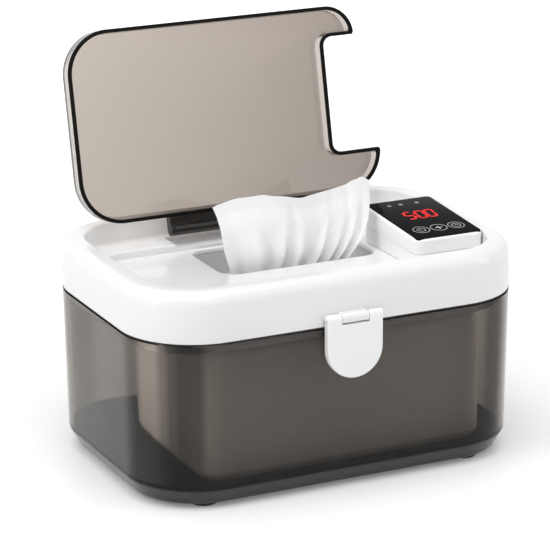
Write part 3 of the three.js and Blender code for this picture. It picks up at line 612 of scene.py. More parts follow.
def make_cover():
    above = COVER_TOP + CUT
    rim_foot = COVER_TOP - RIM_FILLET
    shell = body_skin("white_cover", [
        (COVER_LIP, COVER_BOTTOM), (COVER_LIP * 0.3, COVER_BOTTOM + COVER_LIP * 0.3),
        (0, COVER_BOTTOM + COVER_LIP), (0, rim_foot),
        *quarter(0, rim_foot, RIM_FILLET, COVER_TOP, 12)])
    wall_inset = RECESS_INSET - RECESS_FILLET
    brim = wall_inset - RIM_INNER_FILLET
    brim_foot = COVER_TOP - RIM_INNER_FILLET
    turns = [math.radians(angle) for angle in range(11, 100, 11)]
    shell = cut(shell, body_skin("recess", [
        (RECESS_INSET + RECESS_FILLET, LEDGE_Z),
        (RECESS_INSET + RECESS_FILLET * 0.3, LEDGE_Z + RECESS_FILLET * 0.3),
        (RECESS_INSET, LEDGE_Z + RECESS_FILLET), (wall_inset, brim_foot),
        *[(brim + RIM_INNER_FILLET * math.cos(turn),
           brim_foot + RIM_INNER_FILLET * math.sin(turn)) for turn in turns], (brim, above)]))
    deck = (-HALF_X + LEDGE_INSET, -HALF_Y + LEDGE_INSET, HALF_X - LEDGE_INSET, DECK_REAR)
    shell = cut(shell, flared_cutter("deck_cut", deck, DECK_CORNER, DECK_Z, LEDGE_Z, above,
                                     DECK_EDGE))
    shell = cut(shell, body_skin("underside", [(COVER_WALL, COVER_BOTTOM - CUT),
                                               (COVER_WALL, DECK_Z - DECK_THICKNESS)]))
    shell = cut(shell, block("hinge_pocket",
                             (TONGUE_LEFT - RUNNING_GAP, DECK_REAR - CUT, POCKET_FLOOR),
                             (TONGUE_RIGHT + RUNNING_GAP, POCKET_REAR, above)))
    for x0 in EAR_PLACES:
        x1 = x0 + LID_EAR
        ear = bar_x("lid_ear", x0, x1, LID_AXIS.y, LID_AXIS.z, LID_EAR_RADIUS)
        ear = join(ear, block("ear_foot", (x0, LID_AXIS.y - LID_EAR_RADIUS, DECK_Z),
                              (x1, LID_AXIS.y + LID_EAR_RADIUS, LID_AXIS.z)))
        shell = join(shell, ear)
    shell = cut(shell, flared_cutter("housing_cut", grown(HOUSING, HOUSING_GAP),
                                     HOUSING_CORNER + HOUSING_GAP, DECK_Z, COVER_TOP, above,
                                     HOUSING_GAP))
    shell = cut(shell, flared_cutter("opening_cut", OPENING, OPENING_CORNER,
                                     DECK_Z - DECK_THICKNESS * 2, DECK_Z, DECK_Z + CUT,
                                     OPENING_EDGE))
    for side in (-1, 1):
        x0 = side * REAR_SPREAD - REAR_KNUCKLE / 2
        x1 = x0 + REAR_KNUCKLE
        reach = REAR_RADIUS * 2
        knuckle = bar_x("knuckle", x0, x1, REAR_AXIS.y, REAR_AXIS.z, REAR_RADIUS)
        knuckle = join(knuckle, block("web", (x0, HALF_Y - COVER_WALL / 2, COVER_BOTTOM),
                                      (x1, REAR_AXIS.y, REAR_AXIS.z + reach)))
        knuckle = join(knuckle, block("toe", (x0, REAR_AXIS.y - REAR_RADIUS, REAR_AXIS.z),
                                      (x1, REAR_AXIS.y + REAR_RADIUS, REAR_AXIS.z + reach)))
        shell = join(shell, knuckle)
    half = BOSS_WIDTH / 2
    boss = bar_x("boss", -half, half, LATCH_AXIS.y, LATCH_AXIS.z, BOSS_RADIUS)
    boss = join(boss, block("boss_root", (-half, LATCH_AXIS.y, LATCH_AXIS.z - BOSS_RADIUS),
                            (half, -HALF_Y + COVER_WALL / 2, LATCH_AXIS.z + BOSS_RADIUS)))
    shell = join(shell, boss)
    left, low, right, high = INLET_HOLE
    shell = cut(shell, block("inlet_hole", (left, HALF_Y - COVER_WALL - CUT, low),
                             (right, HALF_Y + CUT, high)))
    soften(shell, MOULD_EDGE, 2, 50)
    return shell


white = plastic("white_gloss", (0.87, 0.87, 0.875, 1), 0.22, coat=0.3)
dress(make_cover(), "cover", "white_plastic", white, "cover_shell")


# Throat and liner
# The white sleeve under the opening and the tray that closes the cover from below.
# Both keep their moulded solids; the throat shows as the opening's inner walls.


def repaint(material, *names):
    for name in names:
        nodes[name].data.materials.clear()
        nodes[name].data.materials.append(material)


repaint(plastic("inner_white", (0.66, 0.66, 0.67, 1), 0.38), "dispensing_throat", "cover_liner")


# Hidden works
# Heater, sensors, boards, inlet, pins and screws keep their solids and get their own finishes.
# They show when the cover is tipped back and through small gaps.


def metal(name, color, roughness):
    """Metal with fine streaks along X."""
    material = tuned(plastic(name, color, roughness), Metallic=1.0)
    tree = material.node_tree
    stretch = node(tree, "Mapping", node(tree, "TexCoord").outputs["Object"],
                   Scale=(4.0, 400.0, 400.0))
    streak = node(tree, "TexNoise", stretch.outputs["Vector"], Scale=6.0)
    embossed(material, streak.outputs["Fac"], 0.15, FINE_RELIEF)
    return material


repaint(metal("pin_steel", (0.62, 0.63, 0.65, 1), 0.28), "rear_hinge_pin_left",
        "rear_hinge_pin_right", "lid_hinge_pin", "latch_pin")
repaint(metal("screw_steel", (0.55, 0.56, 0.58, 1), 0.35),
        *["liner_screw_%d" % number for number in range(1, 7)])
repaint(metal("heater_sheet", (0.76, 0.77, 0.78, 1), 0.4), "heating_plate")
repaint(plastic("heater_amber", (0.55, 0.26, 0.05, 1), 0.3, coat=0.3), "heating_film")
repaint(plastic("board_green", (0.03, 0.2, 0.08, 1), 0.35, grain=0.2), "power_board",
        "display_board")
repaint(plastic("part_black", (0.02, 0.02, 0.022, 1), 0.5, grain=0.3), "thermistor",
        "thermal_cutout", "power_inlet", "touch_pad_1", "touch_pad_2", "touch_pad_3")
repaint(plastic("display_red", (0.45, 0.01, 0.01, 1), 0.3), "digit_display")


# Control housing
# A white box that stands on the deck beside the opening, open below, with softened top edges
# and a shadow groove round it a little above the deck.

HOUSING_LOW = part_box("control_housing")[0].z
HOUSING_TOP = 119.2 * MM
TILT_RISE = 4.3 * MM
HOUSING_EDGE = 1.8 * MM
GROOVE_TOP = HOUSING_TOP - 9 * MM
GROOVE_HEIGHT = 0.8 * MM
GROOVE_DEPTH = 0.6 * MM
HOUSING_WALL = 2 * MM
HOUSING_CEILING = HOUSING_TOP - 2.6 * MM
GLASS = (57.2 * MM, -41.6 * MM, 96.2 * MM, 17.6 * MM)
GLASS_GAP = 0.25 * MM
GLASS_TOP = HOUSING_TOP + 0.15 * MM
GLASS_LOW = GLASS_TOP - 1.2 * MM
GLASS_CORNER = 2.6 * MM


def leaned(piece):
    """Tips the module's top towards the user: heights shift more the higher and further back."""
    middle_y = (HOUSING[1] + HOUSING[3]) / 2
    for vertex in piece.data.vertices:
        share = (vertex.co.z - HOUSING_LOW) / (HOUSING_TOP - HOUSING_LOW)
        vertex.co.z += share * TILT_RISE * (vertex.co.y - middle_y) / (HOUSING[3] - HOUSING[1])
    return piece


def make_housing():
    groove_low = GROOVE_TOP - GROOVE_HEIGHT
    brim = HOUSING_TOP - HOUSING_EDGE
    profile = [(0, HOUSING_LOW), (0, groove_low), (GROOVE_DEPTH, groove_low + 0.1 * MM),
               (GROOVE_DEPTH, GROOVE_TOP - 0.1 * MM), (0, GROOVE_TOP), (0, brim),
               *quarter(0, brim, HOUSING_EDGE, HOUSING_TOP)]
    housing = skin("control_case", [
        (rounded_outline(*grown(HOUSING, -inset), HOUSING_CORNER - inset), z)
        for inset, z in profile])
    housing = cut(housing, slab("glass_seat", *grown(GLASS, GLASS_GAP), GLASS_LOW - 0.3 * MM,
                                HOUSING_TOP + CUT, GLASS_CORNER + GLASS_GAP))
    housing = cut(housing, slab("housing_hollow", *grown(HOUSING, -HOUSING_WALL),
                                HOUSING_LOW - CUT, HOUSING_CEILING,
                                HOUSING_CORNER - HOUSING_WALL))
    soften(housing, 0.2 * MM, 2, 50)
    return leaned(housing)


bright_white = plastic("bright_white", (0.94, 0.94, 0.945, 1), 0.22, coat=0.3)
dress(make_housing(), "cover", "white_plastic", bright_white, "control_housing")


# Control glass
# A glossy black panel let into the housing's top, with its edges ground to a small radius.
# The red digits and pale touch marks are printed and lit behind it, so they lie flush with it.

GLASS_EDGE = ((0, GLASS_LOW), (0, GLASS_TOP - 0.25 * MM), (0.1 * MM, GLASS_TOP - 0.07 * MM),
              (0.3 * MM, GLASS_TOP))
panel_black = tuned(plastic("panel_black", (0.009, 0.009, 0.01, 1), 0.12, spread=0.04), IOR=1.04)
glass_panel = skin("black_panel", [(rounded_outline(*grown(GLASS, -inset), GLASS_CORNER), z)
                                   for inset, z in GLASS_EDGE])
shade(leaned(glass_panel), 40)
dress(glass_panel, "cover", "black_glass", panel_black, "control_glass")


# Digits and touch marks
# Lit segments and fine printed outlines, a hair proud of the panel.
# The numbers and marks are plain generic ones.

MARK_LIFT = 0.04 * MM
MARK_THICKNESS = 0.05 * MM
DIGIT_WIDTH = 4.4 * MM
DIGIT_HEIGHT = 10.5 * MM
SEGMENT_WIDTH = 1.15 * MM
DIGIT_SLANT = 0.08
SEGMENTS = {"5": "afgcd", "0": "abcdef"}
PANEL_X = (GLASS[0] + GLASS[2]) / 2
PANEL_Y = (GLASS[1] + GLASS[3]) / 2
DIGITS_Y = PANEL_Y + 4.5 * MM
RING_RADIUS = 4.5 * MM
RING_LINE = 0.38 * MM
TOUCH_SPACING = 10.5 * MM
TOUCH_Y = GLASS[1] + 12.4 * MM
STATUS_Y = GLASS[3] - 7.5 * MM
STATUS_RAY = 1.5 * MM


def plates(name, outlines, z0, z1):
    """Thin raised shapes, each from its own outline, as one mesh."""
    points, faces = [], []
    for outline in outlines:
        start = len(points)
        count = len(outline)
        points += [(x, y, z0) for x, y in outline] + [(x, y, z1) for x, y in outline]
        faces.append(tuple(start + i for i in range(count - 1, -1, -1)))
        faces.append(tuple(start + count + i for i in range(count)))
        for i in range(count):
            a, b = start + i, start + (i + 1) % count
            faces.append((a, b, b + count, a + count))
    mesh = bpy.data.meshes.new(name)
    mesh.from_pydata(points, [], faces)
    mesh.update()
    return new_object(name, mesh)


def stroke(x0, y0, x1, y1, width):
    """A straight stroke with mitred tips."""
    dx, dy = x1 - x0, y1 - y0
    length = math.hypot(dx, dy)
    ux, uy = dx / length, dy / length
    h = width / 2
    return [(x0, y0), (x0 + ux * h + uy * h, y0 + uy * h - ux * h),
            (x1 - ux * h + uy * h, y1 - uy * h - ux * h), (x1, y1),
            (x1 - ux * h - uy * h, y1 - uy * h + ux * h),
            (x0 + ux * h - uy * h, y0 + uy * h + ux * h)]


def arc_strokes(cx, cy, radius, start, end, width, steps=24):
    """A curved line as short outlined pieces that meet end to end."""
    pieces = []
    for i in range(steps):
        a = math.radians(start + (end - start) * i / steps)
        b = math.radians(start + (end - start) * (i + 1) / steps)
        inner, outer = radius - width / 2, radius + width / 2
        pieces.append([(cx + reach * math.cos(turn), cy + reach * math.sin(turn))
                       for reach, turn in ((inner, a), (outer, a), (outer, b), (inner, b))])
    return pieces


def digit_outlines(symbol, left, bottom):
    w, h, s = DIGIT_WIDTH, DIGIT_HEIGHT, SEGMENT_WIDTH
    gap = s * 0.12
    lines = {
        "a": (0, h, w, h), "g": (0, h / 2, w, h / 2), "d": (0, 0, w, 0),
        "f": (0, h / 2, 0, h), "b": (w, h / 2, w, h),
        "e": (0, 0, 0, h / 2), "c": (w, 0, w, h / 2),
    }
    shapes = []
    for key in SEGMENTS[symbol]:
        x0, y0, x1, y1 = lines[key]
        if y0 == y1:
            x0, x1 = x0 + gap, x1 - gap
        else:
            y0, y1 = y0 + gap, y1 - gap
        shapes.append([(left + x + y * DIGIT_SLANT, bottom + y)
                       for x, y in stroke(x0, y0, x1, y1, s)])
    return shapes


def glowing(name, color, strength):
    return tuned(plastic(name, color, 0.3), Emission_Color=color, Emission_Strength=strength,
                 Specular_IOR_Level=0.05)


digit_shapes = []
digit_bottom = DIGITS_Y - DIGIT_HEIGHT / 2
for symbol, share in (("5", -1.45), ("0", 0.12), ("0", 1.45)):
    digit_shapes += digit_outlines(symbol, PANEL_X + share * DIGIT_WIDTH - DIGIT_WIDTH / 2,
                                   digit_bottom)
for height_share in (0.3, 0.7):
    x = PANEL_X - 0.67 * DIGIT_WIDTH + height_share * DIGIT_HEIGHT * DIGIT_SLANT
    y = digit_bottom + height_share * DIGIT_HEIGHT
    half = SEGMENT_WIDTH * 0.45
    digit_shapes.append([(x - half, y - half), (x + half, y - half), (x + half, y + half),
                         (x - half, y + half)])
mark_low = GLASS_TOP + MARK_LIFT
digits = plates("red_digits", digit_shapes, mark_low, mark_low + MARK_THICKNESS)
dress(leaned(digits), "cover", "red_display", glowing("digit_red", (0.5, 0.004, 0.004, 1), 1.2))

POWER_X, PLUS_X, CLOCK_X = (PANEL_X + step * TOUCH_SPACING for step in (-1, 0, 1))
mark_shapes = []
for x in (POWER_X, PLUS_X, CLOCK_X):
    mark_shapes += arc_strokes(x, TOUCH_Y, RING_RADIUS, 0, 360, RING_LINE, 48)
mark_shapes += arc_strokes(POWER_X, TOUCH_Y, RING_RADIUS * 0.5, 120, 420, RING_LINE, 24)
mark_shapes += arc_strokes(CLOCK_X, TOUCH_Y, RING_RADIUS * 0.55, 0, 360, RING_LINE, 32)
# Each stroke: the mark that it belongs to, its ends as shares of the ring's radius, its weight
for x, x0, y0, x1, y1, weight in ((POWER_X, 0, 0.05, 0, 0.68, 1.4), (PLUS_X, -0.5, 0, 0.5, 0, 2),
                                  (PLUS_X, 0, -0.5, 0, 0.5, 2), (CLOCK_X, 0, 0, 0, 0.4, 1),
                                  (CLOCK_X, 0, 0, 0.3, 0, 1)):
    mark_shapes.append(stroke(x + x0 * RING_RADIUS, TOUCH_Y + y0 * RING_RADIUS,
                              x + x1 * RING_RADIUS, TOUCH_Y + y1 * RING_RADIUS,
                              RING_LINE * weight))
for share, rays in ((-0.85, 3), (-0.2, 4), (0.75, 4)):
    x = PANEL_X + share * TOUCH_SPACING
    for i in range(rays):
        a = math.pi * i / rays + math.pi / 6
        c, s = math.cos(a) * STATUS_RAY, math.sin(a) * STATUS_RAY
        mark_shapes.append(stroke(x - c, STATUS_Y - s, x + c, STATUS_Y + s, RING_LINE * 0.8))
marks = plates("touch_marks", mark_shapes, mark_low, mark_low + MARK_THICKNESS)
dress(leaned(marks), "cover", "black_glass", glowing("mark_white", (0.5, 0.5, 0.52, 1), 0.1))


# Clear lid
# A shallow tray in smoked clear plastic with a notch round the control housing and a thick
# stepped tongue that carries its pin. It is drawn closed, then turned open about the pin.

LID_LEFT = -95.5 * MM
LID_RIGHT = 84 * MM
LID_REAR = 43 * MM
LID_FRONT = -60.5 * MM
LID_CORNER = 24 * MM
LID_HORN_SHORTFALL = 10 * MM
LID_HORN_CORNER = 16.6 * MM
LID_HEIGHT = 10 * MM
LID_TOP = LEDGE_Z + 0.3 * MM + LID_HEIGHT
LID_WALL = 2 * MM
LID_PLATE = 2 * MM
LID_PAINTED_DARK_EDGE = 1.4 * MM
NOTCH_GAP = 0.8 * MM
NOTCH_CORNER = 5 * MM
HORN_TIP = 1.6 * MM
LID_OPEN = math.radians(102.3)
LID_EDGE = 1.6 * MM
LID_INNER_EDGE = 1.2 * MM
BARREL = 3.3 * MM
TONGUE_TOP = LID_AXIS.z + 3.3 * MM
TONGUE_THICKNESS = 4.6 * MM
PIN_BORE = 1.8 * MM
# Painted light: the lid's tint is drawn lighter at the left and darker at the right, for how
# light falls across it.
LID_TINT_LEFT_PAINTED_LIGHTER = (0.44, 0.39, 0.345, 1)
LID_TINT_RIGHT_PAINTED_DARKER = (0.262, 0.225, 0.197, 1)
# Painted light: the lid's upright walls get a much paler tint than its plate, for light shining
# off them, and it too is drawn lighter at the left.
WALL_TINT_LEFT_PAINTED_LIGHT = (0.9, 0.885, 0.87, 1)
WALL_TINT_RIGHT_PAINTED_LIGHT = (0.58, 0.53, 0.49, 1)


def lid_outline(inset):
    notch_x = HOUSING[0] - NOTCH_GAP - inset
    notch_front = HOUSING[1] - NOTCH_GAP - inset
    notch_rear = HOUSING[3] + NOTCH_GAP + inset
    x0, x1 = LID_LEFT + inset, LID_RIGHT - inset
    y0, y1 = LID_FRONT + inset, LID_REAR - inset
    corner = LID_CORNER - inset
    horn = LID_HORN_CORNER - inset
    horn_x = x1 - LID_HORN_SHORTFALL - horn
    steps = 20
    left = rounded_outline(x0, y0, x1, y1, corner, steps)[2 * (steps + 1):]
    first = math.degrees(math.asin(max(-1, min(1, (notch_rear - (y1 - corner)) / corner))))
    rear_right = arc(x1 - corner, y1 - corner, corner, first, 90, steps)
    last = math.degrees(math.asin(min(0.0, (notch_front - (y0 + horn)) / horn)))
    front_right = arc(horn_x, y0 + horn, horn, -90, last, steps)
    dent = NOTCH_CORNER + inset
    notch = (arc(notch_x + dent, notch_front + dent, dent, 270, 180, 8)
             + arc(notch_x + dent, notch_rear - dent, dent, 180, 90, 8))
    tip_front = round_tip(front_right, (notch_x + dent, notch_front), HORN_TIP)
    tip_rear = round_tip(rear_right[::-1], (notch_x + dent, notch_rear), HORN_TIP)[::-1]
    return tip_front + notch + tip_rear + left


def round_tip(bend, along, radius):
    """A bend whose sharp end is swapped for a short round turn towards a following point."""
    end = Vector(bend[-1])
    total = 0.0
    kept = list(bend)
    while len(kept) > 2 and total < radius:
        total += (Vector(kept[-1]) - Vector(kept[-2])).length
        kept.pop()
    start = Vector(kept[-1])
    leave = end + (Vector(along) - end).normalized() * radius
    turn = []
    for k in range(1, 9):
        t = k / 8
        p = start * (1 - t) ** 2 + end * 2 * t * (1 - t) + leave * t ** 2
        turn.append((p.x, p.y))
    while len(kept) < len(bend):
        kept.append(((kept[-1][0] + turn[0][0]) / 2, (kept[-1][1] + turn[0][1]) / 2))
    return kept + turn


def lid_skin(name, profile):
    return skin(name, [(lid_outline(inset), z) for inset, z in profile])


def make_lid():
    low = LID_TOP - LID_HEIGHT
    brim = LID_TOP - LID_EDGE
    tray = lid_skin("smoked_lid", [
        (MOULD_EDGE, low), (0, low + MOULD_EDGE), (0, low + LID_PAINTED_DARK_EDGE), (0, brim),
        *quarter(0, brim, LID_EDGE, LID_TOP)])
    under = LID_TOP - LID_PLATE
    inner_brim = under - LID_INNER_EDGE
    tray = cut(tray, lid_skin("lid_hollow", [
        (LID_WALL, low - CUT), (LID_WALL, low + LID_PAINTED_DARK_EDGE), (LID_WALL, inner_brim),
        *quarter(LID_WALL, inner_brim, LID_WALL + LID_INNER_EDGE, under, 6)]))
    soften(tray, 0.25 * MM, 2, 50)
    return opened(tray)


def make_tongue():
    tongue = block("lid_tongue", (TONGUE_LEFT, LID_REAR, TONGUE_TOP - TONGUE_THICKNESS),
                   (TONGUE_RIGHT, LID_AXIS.y, TONGUE_TOP))
    tongue = join(tongue, bar_x("barrel", TONGUE_LEFT, TONGUE_RIGHT, LID_AXIS.y, LID_AXIS.z,
                                BARREL))
    for x0 in EAR_PLACES:
        tongue = cut(tongue, block(
            "ear_slot", (x0 - RUNNING_GAP, LID_AXIS.y - LID_EAR_RADIUS - RUNNING_GAP,
                         LID_AXIS.z - BARREL * 2),
            (x0 + LID_EAR + RUNNING_GAP, LID_AXIS.y + BARREL * 2, LID_AXIS.z + BARREL * 2)))
    tongue = cut(tongue, bar_x("pin_bore", TONGUE_LEFT + LID_PIN_INSET - RUNNING_GAP,
                               TONGUE_RIGHT - LID_PIN_INSET + RUNNING_GAP, LID_AXIS.y, LID_AXIS.z,
                               PIN_BORE))
    soften(tongue, 0.45 * MM, 3, 50)
    return opened(tongue)


def opened(piece):
    """Turns a piece of the lid, drawn closed, to where it stands open at rest."""
    piece.data.transform(Matrix.Translation(LID_AXIS) @ Matrix.Rotation(-LID_OPEN, 4, "X")
                         @ Matrix.Translation(-LID_AXIS))
    return piece


def painted_light_gradient(material, low, high, tint_low, tint_high):
    """Paints a gradient of light into the plastic's tint, from one colour to another along the
    lid.
    """
    tree = material.node_tree
    parts = node(tree, "SeparateXYZ", node(tree, "TexCoord").outputs["Object"])
    along = node(tree, "MapRange", parts.outputs["X"], From_Min=low, From_Max=high)
    return ramped(material, along.outputs["Result"], ((0.0, tint_low), (1.0, tint_high)))


lid_plastic = painted_light_gradient(smoked_plastic("smoked_lid", LID_TINT_LEFT_PAINTED_LIGHTER), -95 * MM, 84 * MM,
                     LID_TINT_LEFT_PAINTED_LIGHTER, LID_TINT_RIGHT_PAINTED_DARKER)
lid = dress(make_lid(), "lid", "smoked_lid", lid_plastic, "clear_lid")
# Painted shade: the lid's free rim is drawn as an opaque near-black band, for the dark line that
# a clear plastic edge shows.
lid.data.materials.append(tuned(smoked_plastic("lid_edge_painted_dark", (0.012, 0.011, 0.01, 1), ior=1.06),
                                Transmission_Weight=0.0))
lid.data.materials.append(painted_light_gradient(smoked_plastic("lid_wall_painted_light", WALL_TINT_LEFT_PAINTED_LIGHT), -60 * MM, 40 * MM,
                                 WALL_TINT_LEFT_PAINTED_LIGHT, WALL_TINT_RIGHT_PAINTED_LIGHT))
down = Matrix.Rotation(-LID_OPEN, 3, "X") @ Vector((0, 0, -1))
edge_reach = LID_HEIGHT - LID_TOP + LID_AXIS.z - LID_PAINTED_DARK_EDGE
# Faces near the free rim take the painted dark edge; upright walls take the painted paler wall
# tint.
for face in lid.data.polygons:
    if (face.center - LID_AXIS).dot(down) > edge_reach:
        face.material_index = 1
    elif abs(face.normal.dot(down)) < 0.15:
        face.material_index = 2
dress(make_tongue(), "lid", "smoked_lid",
      smoked_plastic("smoked_tongue", (0.5, 0.48, 0.46, 1), (0.3, 0.27, 0.24, 1), 900.0))


# Front latch
# A white flap with a half-round foot that hangs on its pin either side of the cover's boss and
# hooks under the tub's catch rib.

LATCH_WIDTH = 31.4 * MM
LATCH_BOTTOM = 62.2 * MM
LATCH_FACE = -HALF_Y - 1.3 * MM
LATCH_THICKNESS = 4.2 * MM
LATCH_EDGE = 1.0 * MM
LATCH_SHOULDER = 1.2 * MM
LATCH_CORNER = 1.8 * MM
HOOK_TOP = 67.1 * MM
HOOK_REACH = 0.65 * MM


def latch_outline(inset):
    """The flap as seen from the front: square shoulders above, a half round below."""
    half = LATCH_WIDTH / 2 - inset
    top = LATCH_AXIS.z + LATCH_SHOULDER - inset
    corner = LATCH_CORNER - inset
    points = (arc(half - corner, top - corner, corner, 0, 90, 4)
              + arc(corner - half, top - corner, corner, 90, 180, 4)
              + arc(0, LATCH_BOTTOM + LATCH_WIDTH / 2, half, 180, 360, 24))
    return points[::-1]


def make_latch():
    front = LATCH_FACE - LATCH_THICKNESS
    levels = [(latch_outline(0), -LATCH_FACE), (latch_outline(0), -front - LATCH_EDGE)]
    levels += [(latch_outline(inset), z) for inset, z in
               quarter(0, -front - LATCH_EDGE, LATCH_EDGE, -front, 6)]
    flap = skin("front_latch", levels)
    for vertex in flap.data.vertices:
        x, z, out = vertex.co
        vertex.co = (x, -out, z)
    flap.data.flip_normals()
    half = LATCH_WIDTH / 2
    flap = join(flap, bar_x("latch_barrel", -half, half, LATCH_AXIS.y, LATCH_AXIS.z, BOSS_RADIUS))
    notch = BOSS_WIDTH / 2 + RUNNING_GAP
    flap = cut(flap, block("latch_notch",
                           (-notch, front - CUT, LATCH_AXIS.z - BOSS_RADIUS - RUNNING_GAP),
                           (notch, LATCH_FACE + CUT * 2, LATCH_AXIS.z + BOSS_RADIUS * 2)))
    flap = join(flap, block("hook", (-CATCH_HALF_WIDTH, LATCH_FACE - 2 * MM,
                                     HOOK_TOP - CATCH_HEIGHT),
                            (CATCH_HALF_WIDTH, LATCH_FACE + HOOK_REACH, HOOK_TOP)))
    soften(flap, 0.3 * MM, 2, 50)
    return flap


dress(make_latch(), "latch", "white_plastic", bright_white, "latch_flap")


# Wipe stack
# The pack of folded moist wipes in the tub: limp nonwoven leaves laid one on another, with
# wavering folded edges down its sides and a slack, gently dented top.

stack_low, stack_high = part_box("wipe_stack")
STACK_CORNER = 12 * MM
STACK_LEAF = 2.6 * MM
STACK_EASE = 0.5 * MM
LEAF_ROWS = 6
LEAF_CREASE = 0.03 * MM
END_TUCK = 2.2 * MM
TOP_RINGS = 15
TOP_DENT = 0.8 * MM
TOP_WAVES = (19 * MM, 16 * MM)
SIDE_WAVES = (24 * MM, 21 * MM)
SIDE_WAVE_SHARE = 0.005
LEAF_DRIFT = 0.16
TOP_MARGIN = 14 * MM


def wavering(a, b, c):
    """A smooth value from -1 to 1 that wanders with three numbers."""
    return (math.sin(a * 1.7 + b * 2.3 + 0.4) + math.sin(a * 0.9 - b * 1.1 + c * 1.9 + 1.3)
            + math.sin(b * 0.6 + c * 2.7 - 0.8)) / 3


def make_stack():
    half_x = (stack_high.x - stack_low.x) / 2
    half_y = (stack_high.y - stack_low.y) / 2
    centre_x = (stack_high.x + stack_low.x) / 2
    centre_y = (stack_high.y + stack_low.y) / 2
    height = stack_high.z - stack_low.z
    levels = []
    rows = round(height / STACK_LEAF) * LEAF_ROWS
    for row in range(rows + 1):
        leaf = row // LEAF_ROWS
        bulge = abs(math.sin(math.pi * row / LEAF_ROWS))
        ends = min(row, rows - row) / rows
        tuck = END_TUCK * max(0.0, 1 - ends * 14) ** 2
        inset = LEAF_CREASE * (1 - bulge) + tuck + STACK_EASE
        outline = rounded_outline(-half_x + inset, -half_y + inset, half_x - inset,
                                  half_y - inset, STACK_CORNER, 12)
        wavy = []
        for x, y in sampled(outline, 168):
            wave = wavering(x / SIDE_WAVES[0], y / SIDE_WAVES[1], leaf * LEAF_DRIFT)
            shift = 1 - SIDE_WAVE_SHARE * (1 + wave)
            wavy.append((centre_x + x * shift, centre_y + y * shift))
        levels.append((wavy, stack_low.z + height * row / rows))
    top = levels[-1][0]
    for step in range(1, TOP_RINGS):
        share = 1 - (step / TOP_RINGS) ** 1.1
        points = [(centre_x + (x - centre_x) * share, centre_y + (y - centre_y) * share)
                  for x, y in top]
        levels.append((points, stack_high.z))
    stack = skin("folded_wipes", levels)
    for vertex in stack.data.vertices:
        x, y, z = vertex.co
        if z > stack_high.z - 0.1 * MM:
            edge = min(half_x - abs(x - centre_x), half_y - abs(y - centre_y)) / TOP_MARGIN
            fade = max(0.0, min(1.0, edge))
            wave = wavering(x / TOP_WAVES[0], y / TOP_WAVES[1], 0.5)
            vertex.co.z -= TOP_DENT * (1 + wave) * fade
    shade(stack, 70)
    return stack


def sampled(outline, count):
    """The same closed outline as evenly spaced points."""
    lengths = [math.dist(here, there) for here, there in zip(outline, outline[1:] + outline[:1])]
    total = sum(lengths)
    points = []
    index, used = 0, 0.0
    for k in range(count):
        goal = total * k / count
        while used + lengths[index] < goal:
            used += lengths[index]
            index += 1
        share = (goal - used) / max(lengths[index], 1e-9)
        x, y = outline[index]
        nx, ny = outline[(index + 1) % len(outline)]
        points.append((x + (nx - x) * share, y + (ny - y) * share))
    return points


def cloth(name, color, pore_scale, relief=0.35):
    """Soft nonwoven cloth: dull, with a fibrous, pitted face."""
    material = new_material(name, Base_Color=color, Roughness=0.9, Specular_IOR_Level=0.2,
                            Sheen_Weight=0.06, Sheen_Roughness=0.6)
    tree = material.node_tree
    place = node(tree, "TexCoord").outputs["Object"]
    stretch = node(tree, "Mapping", place, Scale=(1.0, 1.0, 0.35))
    fibre = node(tree, "TexNoise", stretch.outputs["Vector"], Scale=pore_scale, Detail=6.0,
                 Roughness=0.65)
    pores = node(tree, "TexVoronoi", place, Scale=pore_scale * 0.8)
    height = worked_out(tree, "MULTIPLY_ADD", pores.outputs["Distance"], 0.6,
                        fibre.outputs["Fac"])
    embossed(material, height, relief, 0.25 * MM)
    return material


stack_cloth = cloth("stack_cloth", (0.86, 0.86, 0.85, 1), 700.0, 0.012)
stack = dress(make_stack(), "tub", "wipe_cloth", stack_cloth, "wipe_stack")


# Pop-up wipe
# The next wipe, drawn up through the opening: one thin nonwoven sheet, gathered into folds
# where the throat pinches it, that fans out above the deck to a wavering free edge.

WIPE_COLUMNS = 200
WIPE_ROWS = 72
WIPE_THICKNESS = 0.35 * MM
WIPE_ARC = 96 * MM
WIPE_CRUMPLE = 0.3 * MM
CRUMPLE_SIZES = (3.2 * MM, 6.5 * MM)
WIPE_SHIFT = (1.8 * MM, 3.5 * MM)
WIPE_MOST_DEPTH = 4.6 * MM
# Heights in mm: the wipe's foot in the throat, where its fan starts, how tall that is, its top
WIPE_FOOT = 75.8
WIPE_WAIST = 97
FAN_HEIGHT = 42
WIPE_TOP = 138.8
EDGE_STARTS = 0.55
# Each fold's place across the wipe and how far it stands out, then the wipe's outline in mm
FOLDS = ((0.0, 0.1), (0.08, 0.6), (0.17, -0.3), (0.23, -0.6), (0.31, 0.75), (0.41, -0.8),
         (0.46, 0.9), (0.545, -0.9), (0.6, 0.5), (0.64, 0.65), (0.71, -0.9), (0.75, 0.7),
         (0.825, -0.8), (0.865, 0.7), (0.91, -0.7), (0.955, 0.6), (1.0, -0.5))
LEFT_EDGE = ((75.8, -24.5), (86, -29), (97, -33), (112, -37), (126, -37.8), (133, -38.4),
             (138.8, -40.2))
RIGHT_EDGE = ((75.8, 26), (88, 28), (97, 33), (103, 38.5), (112, 45), (120, 48.5), (128, 50.4),
              (137, 51.8))
TOP_EDGE = ((0.0, 134.6), (0.05, 135.6), (0.18, 137.6), (0.3, 138.4), (0.38, 137.2),
            (0.55, 134.6), (0.62, 134.8), (0.74, 135.6), (0.85, 136.8), (0.91, 139.2),
            (0.955, 140.4), (1.0, 138.4))


def between(knots, at, soft=True):
    """The value at a place between knots, eased at each knot or straight."""
    if at <= knots[0][0]:
        return knots[0][1]
    for (a, low), (b, high) in zip(knots, knots[1:]):
        if at <= b:
            t = (at - a) / (b - a)
            if soft:
                t = t * t * (3 - 2 * t)
            return low + (high - low) * t
    return knots[-1][1]


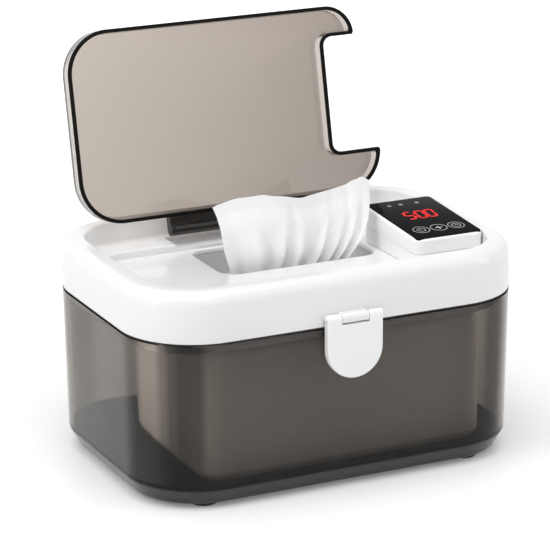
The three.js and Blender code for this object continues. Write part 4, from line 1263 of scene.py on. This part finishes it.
def wipe_row(share):
    """One row of the wipe, from its foot at 0 to its free edge at 1."""
    plain_z = WIPE_FOOT + (WIPE_TOP - WIPE_FOOT) * share
    left = between(LEFT_EDGE, plain_z, False) * MM + WIPE_SHIFT[0]
    right = between(RIGHT_EDGE, plain_z, False) * MM + WIPE_SHIFT[0]
    loose = max(0.0, (plain_z - WIPE_WAIST) / FAN_HEIGHT)
    rise = max(0.0, (share - EDGE_STARTS) / (1 - EDGE_STARTS))
    rise *= rise * (3 - 2 * rise)
    shape = []
    for column in range(WIPE_COLUMNS + 1):
        u = column / WIPE_COLUMNS
        spread = loose * (1.35 + 0.75 * wavering(u * 15, 2.0, 3.0))
        fold = between(FOLDS, u) * (1 - 0.95 * min(1.0, spread) ** 0.7)
        fold += 0.6 * loose * math.sin(2.6 * math.pi * u + 0.9)
        fold += 0.1 * wavering(u * 14, share * 5, 2.0)
        z = plain_z + (between(TOP_EDGE, u) - WIPE_TOP) * rise
        shape.append((left + (right - left) * u, fold, z * MM))
    depth = min(fold_depth(shape), WIPE_MOST_DEPTH)
    middle = (-3.2 + 5.5 * loose * loose - 1.5 * math.sin(math.pi * min(1, loose * 1.2))) * MM
    return [(x, WIPE_SHIFT[1] + middle + depth * fold
             + WIPE_CRUMPLE * wavering(x / CRUMPLE_SIZES[0], z / CRUMPLE_SIZES[1], share * 6), z)
            for x, fold, z in shape]


def fold_depth(shape):
    """How deep the folds are where the cloth keeps its full width along them."""
    low, high = 0.0, 12 * MM
    for _ in range(24):
        depth = (low + high) / 2
        length = sum(math.hypot(b[0] - a[0], depth * (b[1] - a[1]))
                     for a, b in zip(shape, shape[1:]))
        if length < WIPE_ARC:
            low = depth
        else:
            high = depth
    return depth


def make_wipe():
    points = []
    for row in range(WIPE_ROWS + 1):
        points += wipe_row(row / WIPE_ROWS)
    across = WIPE_COLUMNS + 1
    faces = [(row * across + i, row * across + i + 1, (row + 1) * across + i + 1,
              (row + 1) * across + i) for row in range(WIPE_ROWS) for i in range(WIPE_COLUMNS)]
    mesh = bpy.data.meshes.new("drawn_wipe")
    mesh.from_pydata(points, [], faces)
    wipe = new_object("drawn_wipe", mesh)
    thick = wipe.modifiers.new("cloth", "SOLIDIFY")
    thick.thickness = WIPE_THICKNESS
    thick.offset = 0
    settle(wipe)
    shade(wipe, 60)
    return wipe


wipe_cloth = cloth("wipe_cloth", (0.93, 0.93, 0.93, 1), 900.0)
wipe = dress(make_wipe(), "cover", "wipe_cloth", wipe_cloth, "popup_wipe")
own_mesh(wipe)
